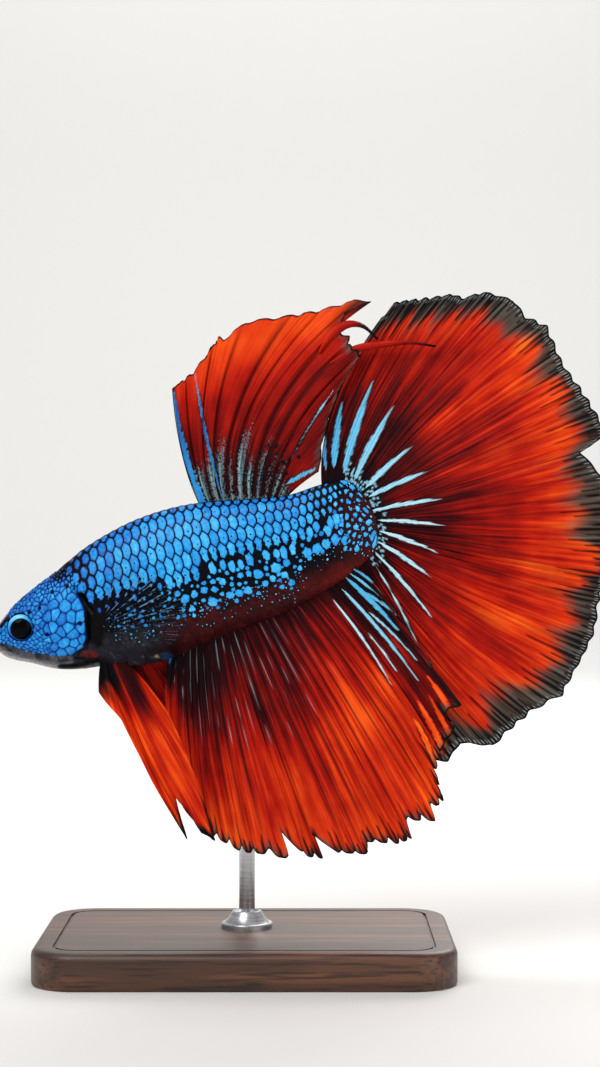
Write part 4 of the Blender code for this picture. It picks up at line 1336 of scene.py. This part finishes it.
TAIL_FORKS = 44
TAIL_STREAKS = [
    (41.3, 7.5, 42.8, 13.1, 0.22, 0.5), (40.4, 7.6, 41.6, 11.8, 0.12, 0.7),
    (42.2, 7.4, 45.2, 14.1, 0.38, 0.38), (43.1, 6.5, 49.1, 15.3, 0.42, 0.3),
    (44.0, 5.4, 50.7, 12.1, 0.38, 0.2), (45.0, 4.2, 51.3, 7.1, 0.33, 0.12),
    (45.0, 3.1, 52.2, 3.9, 0.27, 0.1), (44.7, 1.5, 53.1, 0.4, 0.22, 0.05),
    (45.2, 0.3, 52.2, -2.5, 0.2, 0.0), (45.0, -0.9, 50.5, -5.1, 0.2, 0.0),
    (44.6, -2.1, 49.1, -7.7, 0.22, 0.02), (43.8, -2.9, 47.8, -12.0, 0.19, 0.02),
    (43.5, -4.6, 45.5, -15.2, 0.11, 0.0),
]


def tail_scallop(t):
    depth = 0.22 + 0.16 * random_field(5, 30, 1)(t, 0 * t)
    return depth * np.abs(np.cos(math.pi * TAIL_FORKS * t)) ** 2


fin_piece, t, r, (u, v), length, across = fan(
    520, 88,
    roots=[(40.2, 5.4), (43.4, 3.9), (43.9, 1.2), (43.5, -1.2), (41.6, -2.6)],
    margin=[
        (0.0, 52.4, 22.2), (0.015, 53.2, 22.1), (0.03, 54.2, 23.2), (0.09, 57.0, 22.8),
        (0.16, 61.1, 22.2), (0.175, 61.6, 21.5), (0.21, 64.3, 21.4), (0.25, 67.2, 19.6),
        (0.27, 67.9, 17.4), (0.305, 69.8, 15.7), (0.36, 70.3, 10.9), (0.40, 71.3, 7.8),
        (0.45, 72.3, 4.0), (0.475, 72.5, 2.0), (0.50, 69.3, 0.9), (0.53, 70.8, -2.8),
        (0.58, 70.0, -8.0), (0.64, 68.4, -12.7), (0.70, 66.4, -16.0), (0.73, 65.1, -18.8),
        (0.78, 62.5, -21.6), (0.83, 59.4, -24.8), (0.86, 55.7, -25.4), (0.90, 52.8, -26.7),
        (0.93, 50.3, -28.0), (0.965, 46.8, -26.5), (0.985, 44.9, -28.1), (1.0, 43.2, -27.5),
    ],
    leans=(24, 8, 0, -6, -16),
    scallop=tail_scallop,
)
edge = (1 - r) * length
drift = np.interp(t, (0, 0.2, 0.75, 1), (0.0, 0.0, 0.3, 1.0))
w = drift * r + 1.1 * r**2 * wave(t, 1.5, 0.05) * np.sin(math.pi * t)
w += 0.3 * r**1.5 * wave(t, 9) + 0.09 * r * wave(t, TAIL_FORKS, 0.25)
w += 0.05 * ease(r, 0, 0.2) * wave(t, 2 * TAIL_FORKS, 0.25)
broad, fine = random_field(81, 16, 4)(t, r), random_field(83, 88, 5)(t, r)
tongue = random_field(84, 62, 1)(t, 0 * t)
# Beams, and the two main ones, are painted light: bright streaks where light shines through the thin
# film and along its folds.
beams = np.clip(random_field(87, 46, 3)(t, r), 0, 1) ** 1.5
main_beams = rounded(t - 0.02 * r, 0.315, 0.03) + 0.8 * rounded(t, 0.46, 0.035)
smoke_depth = (2.3 + 0.7 * broad + 0.6 * ease(t, 0.75, 0.95)) * (1 + 0.85 * tongue)
streak, blue, border = strokes(u, v, TAIL_STREAKS)
# Beads of pale pigment stand on the black skin over the ray bases.
dice = np.random.default_rng(131)
beads = [
    (43.0 + (0.6 + out) * math.cos(turn), 1.6 + (3.2 + out) * math.sin(turn))
    for turn, out in zip(dice.uniform(-1.5, 1.5, 150), dice.uniform(0.3, 3.0, 150))
]
root_gap = np.hypot((u - 43.0) / 0.85, (v - 1.6) * 0.78)
finish_fin(
    fin_piece, "tail_membrane", ["caudal_fin"], (u, v, w), 0.16,
    (t * 170, r * length, 0 * t + 7),
    {
        "dye_and_glow": 0.16 * ease(r, 0.06, 0.22) + 0.12 * ease(r, 0.3, 0.6)
        + 0.2 * ease(r, 0.5, 0.9) + 0.05 * broad + 0.07 * fine
        + 0.3 * beams * ease(r, 0.25, 0.6) + 0.18 * main_beams * ease(r, 0.2, 0.45)
        + 0.05 * ease(t, 0.25, 0.5) * ease(r, 0.4, 0.8) + 0.05 * fall(edge, 3.0, 8.0)
        - 0.04 * fall(t, 0.15, 0.28) * fall(r, 0.4, 0.8)
        + 0.14 * ease(t, 0.6, 0.75) * ease(r, 0.1, 0.25) * fall(r, 0.5, 0.8),
        # The fine dark patches are painted shade in the folds; the root is dark too.
        "fold": 0.35 * np.clip(fine, 0, 1) * ease(r, 0.05, 0.3)
        + 0.35 * fall(r, 0.03, 0.12),
        "smoke": 0.95
        * fall(edge + 0.4 * fine, 0.5 * smoke_depth, 0.9 + 1.15 * smoke_depth),
        "ink": np.maximum.reduce([
            fall(edge, 0.12, 0.28),
            0.94 * needles(t, edge, across, 124, 6.5, 85),
            0.75 * border,
            fall(root_gap, 3.0, 5.0),
        ]),
        "streak": np.maximum(streak, 0.75 * spots(u, v, beads, 0.15)),
        "azure": np.where(streak > 0.05, blue, 0.1),
        "ticks": ease(edge, 0.16, 0.24) * fall(edge + 0.15 * broad, 0.4, 0.75)
        * (0.7 + 0.3 * ease(random_field(83, 24, 1)(t, 0 * t), -0.5, 0.3)),
    },
)


# ---------------------------------------------------------------------------------------
# Anal fin. The long fin under the body: near black and deep maroon along the belly, red
# and orange below, its edge split between the rays into ragged black points. It is made
# as the tail is, and set in a slot along the belly.

ANAL_RAYS = 34
ANAL_STREAKS = [
    (40.8, -3.9, 42.9, -6.6, 0.13, 0.4), (40.4, -4.4, 43.3, -8.6, 0.11, 0.3),
    (41.4, -6.9, 44.1, -10.5, 0.12, 0.35), (39.9, -4.8, 44.0, -12.7, 0.24, 0.4),
    (41.1, -9.0, 45.1, -16.7, 0.1, 0.15), (39.1, -5.9, 44.2, -18.1, 0.17, 0.2),
    (37.8, -6.8, 41.3, -17.8, 0.12, 0.0), (40.4, -11.4, 42.4, -17.2, 0.08, 0.0),
]
# At the rear end the sheet is dark, with orange slashes that widen toward the edge.
SLASHES = [
    (45.3, -17.8, 47.4, -25.4, 0.36, 0), (44.9, -20.0, 46.2, -28.6, 0.3, 0),
    (43.5, -20.4, 45.0, -29.0, 0.38, 0), (42.6, -22.2, 43.4, -28.6, 0.28, 0),
]


def anal_scallop(t):
    depth = 0.5 + 0.4 * random_field(15, 26, 1)(t, 0 * t)
    return depth * np.abs(np.cos(math.pi * ANAL_RAYS * t)) ** 5


fin_piece, t, r, (u, v), length, across = fan(
    480, 96,
    roots=[(18.8, -6.6), (29.5, -5.7), (40.9, -3.5)],
    margin=[
        (0.0, 16.2, -12.8), (0.04, 15.9, -17.0), (0.09, 16.4, -24.0), (0.14, 17.2, -28.4),
        (0.20, 19.6, -30.8), (0.25, 21.6, -31.6), (0.29, 24.6, -33.2), (0.305, 24.4, -29.6),
        (0.32, 26.2, -33.4), (0.37, 28.2, -34.2), (0.385, 27.9, -31.4), (0.40, 30.0, -34.0),
        (0.47, 33.3, -35.3), (0.48, 33.5, -33.9), (0.54, 36.6, -35.0), (0.60, 38.4, -34.9),
        (0.61, 38.4, -32.8), (0.67, 41.6, -33.9), (0.68, 41.8, -32.2), (0.71, 43.0, -32.2),
        (0.77, 43.2, -28.4), (0.84, 44.6, -26.2), (0.88, 46.8, -24.4), (0.90, 45.8, -22.6),
        (0.925, 48.0, -22.2), (0.945, 46.0, -17.9), (0.955, 46.3, -16.8), (0.965, 45.0, -13.6),
        (0.972, 45.2, -13.0), (0.98, 44.1, -10.6), (0.986, 44.3, -10.2), (0.992, 43.3, -7.9),
        (1.0, 42.8, -6.6),
    ],
    leans=(-10, 2, 10),
    scallop=anal_scallop,
)
edge = (1 - r) * length
leading = t * across
drift = np.interp(t, (0, 0.3, 0.7, 1), (0, -0.4, -1.0, -1.5))
w = drift * r**0.6 + 0.35 * r**1.5 * wave(t, 6, 0.3)
w += 0.1 * ease(r, 0, 0.6) * wave(t, ANAL_RAYS, 0.25)
w += 0.04 * ease(r, 0, 0.3) * wave(t, 2 * ANAL_RAYS, 0.25)
broad, fine = random_field(91, 14, 4)(t, r), random_field(93, 70, 5)(t, r)
# Beams are painted light: bright streaks where light shines through the thin film.
beams = np.clip(random_field(97, 40, 3)(t, r), 0, 1)
# Gathers are painted dark as the shade of the sheet's folds. Broken pale lines run down
# beside them, near the foot, painted as the folds' highlights.
gathers = creases(
    t, r, across, [(0.03 + 0.033 * k, 0.03 + 0.033 * k, 0.16, 0.02, 1.0) for k in range(28)]
)
fold_highlights = creases(
    t, r, across, [(0.046 + 0.033 * k, 0.046 + 0.033 * k, 0.05, 0.04, 0.6) for k in range(24)]
)
fold_highlights *= np.clip(0.1 + random_field(99, 120, 14)(t, r), 0, 1) * fall(t, 0.35, 0.75)
first_ray = fall(np.abs(leading - 0.3), 0.05, 0.12) * fall(r, 0.2, 0.3)
slashes, _, tongues = strokes(u, v, SLASHES)
rear = ease(t, 0.8, 0.93)
rear_ray = line_distance(u, v, [(43.4, -12.0), (45.4, -16.8), (48.2, -22.6)])
tongues = np.maximum(0.85 * tongues, fall(np.abs(rear_ray), 0.3, 0.55)) * (1 - slashes)
streak, blue, border = strokes(u, v, ANAL_STREAKS)
# The rear corner is black above and dusky below.
night = ease(line_distance(u, v, [(39.2, -4.4), (42.0, -10.0), (44.0, -14.5)]), -0.3, 0.5)
dusk = ease(line_distance(u, v, [(37.6, -5.5), (39.8, -12.0), (42.0, -18.5)]), -0.5, 0.9)
finish_fin(
    fin_piece, "anal_membrane", ["anal_fin"], (u, v, w), 0.18,
    (t * 120, r * length, 0 * t + 13),
    {
        "dye_and_glow": 0.04 + 0.14 * ease(r, 0.1, 0.35) + 0.18 * ease(r, 0.3, 0.65)
        + 0.16 * ease(r, 0.6, 0.95) + 0.06 * broad + 0.06 * fine
        + 0.12 * beams * ease(r, 0.2, 0.6) + 0.05 * ease(r, 0.3, 0.6)
        + 0.2 * ease(t, 0.42, 0.62) * ease(r, 0.06, 0.2) * fall(r, 0.5, 0.85)
        - 0.12 * rear * (1 - slashes) + 0.34 * slashes
        - 0.2 * fall(t, 0.1, 0.32) * fall(r, 0.3, 0.75) - 0.26 * dusk,
        "fold": np.clip(0.85 * gathers * (1 - 0.4 * ease(r, 0.5, 1)) - 0.2 * beams, 0, 1)
        * (1 - slashes),
        "smoke": 0.7 * fall(edge + 0.4 * fine, 0.2, 1.3),
        "ink": np.maximum.reduce([
            fall(edge, 0.1, 0.3),
            0.94 * fall(leading, 0.9, 1.8) * fall(r, 0.5, 0.8),
            0.85 * tongues,
            0.92 * needles(t, edge, across, 76, 3.6, 95) * (1 - slashes),
            0.97 * night * fall(r, 0.55, 0.7) * rear,
            0.7 * border,
        ]),
        "streak": np.maximum.reduce([
            streak, 0.36 * fold_highlights, 0.7 * first_ray * ease(r, 0.02, 0.06)
        ]),
        "azure": np.where(t < 0.03, 0.6, blue),
    },
)


# ---------------------------------------------------------------------------------------
# Ventral fins. Two narrow blades under the throat, each a few stout rays with membrane
# between them, split at the tip. They are made as the others are, black at the root.

# Gathers along each ventral blade, as creases takes them: only painted, dark as shade.
VENTRAL_GATHERS = [
    (0.16, 0.14, 0.2, 0.1, 0.9), (0.32, 0.4, 0.25, 0.1, 0.95), (0.55, 0.52, 0.22, 0.1, 0.9),
    (0.75, 0.82, 0.25, 0.1, 0.9),
]
for side, sign, roots_at, margin in (
    (
        "left", -1, [(11.2, -5.2), (13.2, -5.9)],
        [(0.0, 9.9, -9.0), (0.12, 11.6, -13.0), (0.24, 12.8, -20.3), (0.34, 14.5, -27.5),
         (0.46, 14.6, -22.3), (0.60, 16.3, -27.1), (0.75, 17.5, -28.5), (0.88, 17.5, -21.6),
         (1.0, 16.6, -13.5)],
    ),
    (
        "right", 1, [(11.4, -5.2), (17.0, -6.9)],
        [(0.0, 11.0, -9.2), (0.12, 13.2, -13.0), (0.24, 15.0, -19.6), (0.40, 17.2, -26.0),
         (0.55, 18.4, -23.0), (0.70, 20.0, -24.4), (0.88, 20.0, -16.6), (1.0, 19.2, -8.9)],
    ),
):
    fin_piece, t, r, (u, v), length, across = fan(
        150, 110, roots_at, margin, (-8, -4, 8),
        scallop=lambda t: 0.15 * np.abs(np.cos(math.pi * 9 * t)) ** 4,
    )
    edge = (1 - r) * length
    w = sign * (1.2 + 2.0 * r + 0.25 * r * np.sin(12 * t) + 0.12 * r * wave(t, 8, 0.25))
    lumps = random_field(101, 12, 4)(t, r)
    gathers = creases(t, r, across, VENTRAL_GATHERS)
    # Near its root each fin is dark but for one red band, in the middle or toward the rear.
    bright = rounded(t, 0.47, 0.13) if side == "left" else ease(t, 0.4, 0.62)
    first_ray = fall(t * across, 0.06, 0.14) * fall(r, 0.12, 0.2)
    finish_fin(
        fin_piece, f"ventral_membrane_{side}", [f"ventral_fin_{side}"], (u, v, w), FILM_WALL,
        (t * 34, r * length, 0 * t + 21),
        {
            "dye_and_glow": 0.14 + 0.42 * np.maximum(ease(r, 0.18, 0.52), 0.5 * bright) + 0.1 * lumps,
            # The gathers are painted dark as shade; the root is dark but for the red band.
            "fold": np.maximum(
                0.55 * gathers, 0.9 * fall(r, 0.2, 0.46) * (1 - 0.85 * bright)
            ),
            "ink": np.maximum(
                fall(edge, 0.5, 1.6) * ease(length, 17, 20),
                fall(r * length + 0.6 * lumps, 3.0, 6.0) * fall(t, 0.35, 0.7),
            ),
            "streak": 0.5 * first_ray * ease(r, 0.03, 0.06),
        },
    )


# ---------------------------------------------------------------------------------------
# Pectoral fins. Small clear fans behind the gills, nearly invisible but for their jointed
# rays. Each is a sheet of clear film with pale blue dashes painted on the rays' joints as their
# highlights.

# Clear polyester film, drawn over fine ribs: it is seen by its gloss and by the pale,
# broken lines of its rays, which are painted highlights.
clear_film, tree, shader = finish("clear fin film", {"Roughness": 0.3, "IOR": 1.2})
rays = add(tree, "Attribute", "Fac", attribute_name="rays")
where = add(tree, "TexCoord", "Object")
# The joints are some 0.6 mm apart.
joints = add(tree, "TexNoise", 0, {"Vector": where, "Scale": 1700.0, "Detail": 1.0})
joints = add(tree, "MapRange", 0, {"Value": joints, "From Min": 0.42, "From Max": 0.56})
ray_highlight_dashes = add(tree, "Math", 0, {0: rays, 1: joints}, operation="MULTIPLY")
film = add(tree, "Mix", 2, {"Factor": ray_highlight_dashes, 6: "#141A26", 7: "#6AA6DC"}, data_type="RGBA")
opaque = add(tree, "MapRange", 0, {"Value": ray_highlight_dashes, "To Min": 0.03, "To Max": 0.42})
feed(tree, shader, {"Base Color": film, "Alpha": opaque})

PECTORAL_RAYS = 12
for side, sign in (("left", -1), ("right", 1)):
    fin_piece, t, r, (u, v), length, across = fan(
        260, 60,
        roots=[(12.7, -0.9), (12.4, -3.1)],
        margin=[
            (0.0, 15.6, 3.9), (0.16, 18.2, 2.7), (0.36, 20.9, 0.7), (0.56, 22.2, -1.6),
            (0.76, 22.0, -4.0), (0.9, 20.8, -5.6), (1.0, 19.0, -6.2),
        ],
        leans=(-4, 0, 4),
        scallop=lambda t: 0.25 * np.abs(np.cos(math.pi * 13 * t)) ** 4,
    )
    w = 3.0 + 1.5 * np.minimum(r / 0.3, 1.0) + 1.6 * r - 0.8 * np.abs(t - 0.5) * r
    w += 0.06 * r * wave(t, 13, 0.25)
    # Each ray forks in two half way out.
    fork = 0.018 * ease(r, 0.45, 1.0)
    rays = np.zeros(len(t))
    for k in range(PECTORAL_RAYS):
        for branch in (-fork, fork):
            gap = np.abs(t - (k + 0.5) / PECTORAL_RAYS - branch) * across
            rays = np.maximum(rays, fall(gap, 0.03, 0.08))
    reshape(fin_piece, posed(u, v, sign * w))
    paint(fin_piece, "rays", rays * ease(r, 0.1, 0.25) * (1 - 0.6 * ease(t, 0.55, 0.8)))
    thicken(fin_piece, 0.08)
    add_piece(
        fin_piece, f"pectoral_membrane_{side}", clear_film, "clear_fin", f"pectoral_fin_{side}"
    )


# ---------------------------------------------------------------------------------------
# Floor, lights and camera. A pale floor that sweeps up behind the model, soft lights and a
# level camera off the fish's left side.

# The floor's far edge is swept up through a quarter circle, then straight up as a wall.
bpy.ops.object.select_all(action="DESELECT")
bpy.ops.mesh.primitive_plane_add(size=1)
floor = bpy.context.object
floor.scale = (3.0, 1.6, 1)
floor.location = (0, 0.1, 0)
bpy.ops.object.transform_apply(location=True, rotation=True, scale=True)
bpy.ops.object.mode_set(mode="EDIT")
choose("edges", lambda at, edge: at.y > 890)
turns = [math.radians(7.5 * step) for step in range(1, 13)]
for move in [(0, 0.04 * math.cos(turn), 0.04 * math.sin(turn)) for turn in turns] + [(0, 0, 1.6)]:
    bpy.ops.mesh.extrude_region_move(TRANSFORM_OT_translate={"value": move})
bpy.ops.object.mode_set(mode="OBJECT")
bpy.ops.object.shade_smooth()
floor.name = "studio_floor"
floor_paint, tree, shader = finish(
    "matt pale backdrop", {"Roughness": 0.9, "Base Color": "#DCDAD6"}
)
floor.data.materials.append(floor_paint)

world = bpy.data.worlds.new("studio air")
world.use_nodes = True
feed(world.node_tree, world.node_tree.nodes["Background"], {"Color": "#E4E6EA", "Strength": 0.62})
bpy.context.scene.world = world

AIM = np.array([6.0, 0.0, 48.5]) * MM
for name, place, size, power, target in (
    ("key light", (-0.16, -0.28, 0.34), 0.3, 1.25, AIM),
    ("fill light", (0.34, -0.3, 0.12), 0.4, 0.5, AIM),
    ("back light", (0.12, 0.3, 0.3), 0.3, 1.0, AIM),
    ("backdrop light", (0.0, 0.35, 0.95), 0.9, 9.0, (0.0, 1.3, 0.35)),
):
    lamp = bpy.data.lights.new(name, "AREA")
    lamp.shape, lamp.size, lamp.energy = "DISK", size, power
    holder = bpy.data.objects.new(name, lamp)
    bpy.context.scene.collection.objects.link(holder)
    holder.location = place
    way = Vector(place) - Vector(target)
    holder.rotation_euler = way.to_track_quat("Z", "Y").to_euler()

# The camera stands level, 250 mm from the fish, and its picture is 120 mm high there.
camera = bpy.data.cameras.new("camera")
camera.sensor_fit = "VERTICAL"
camera.sensor_height = 36.0
camera.lens = 36.0 * 250.0 / 119.9
camera.clip_start = 0.01
view = bpy.data.objects.new("camera", camera)
bpy.context.scene.collection.objects.link(view)
view.location = (AIM[0], -0.25, AIM[2])
view.rotation_euler = (math.radians(90), 0, 0)
bpy.context.scene.camera = view
bpy.context.scene.view_settings.view_transform = "Standard"
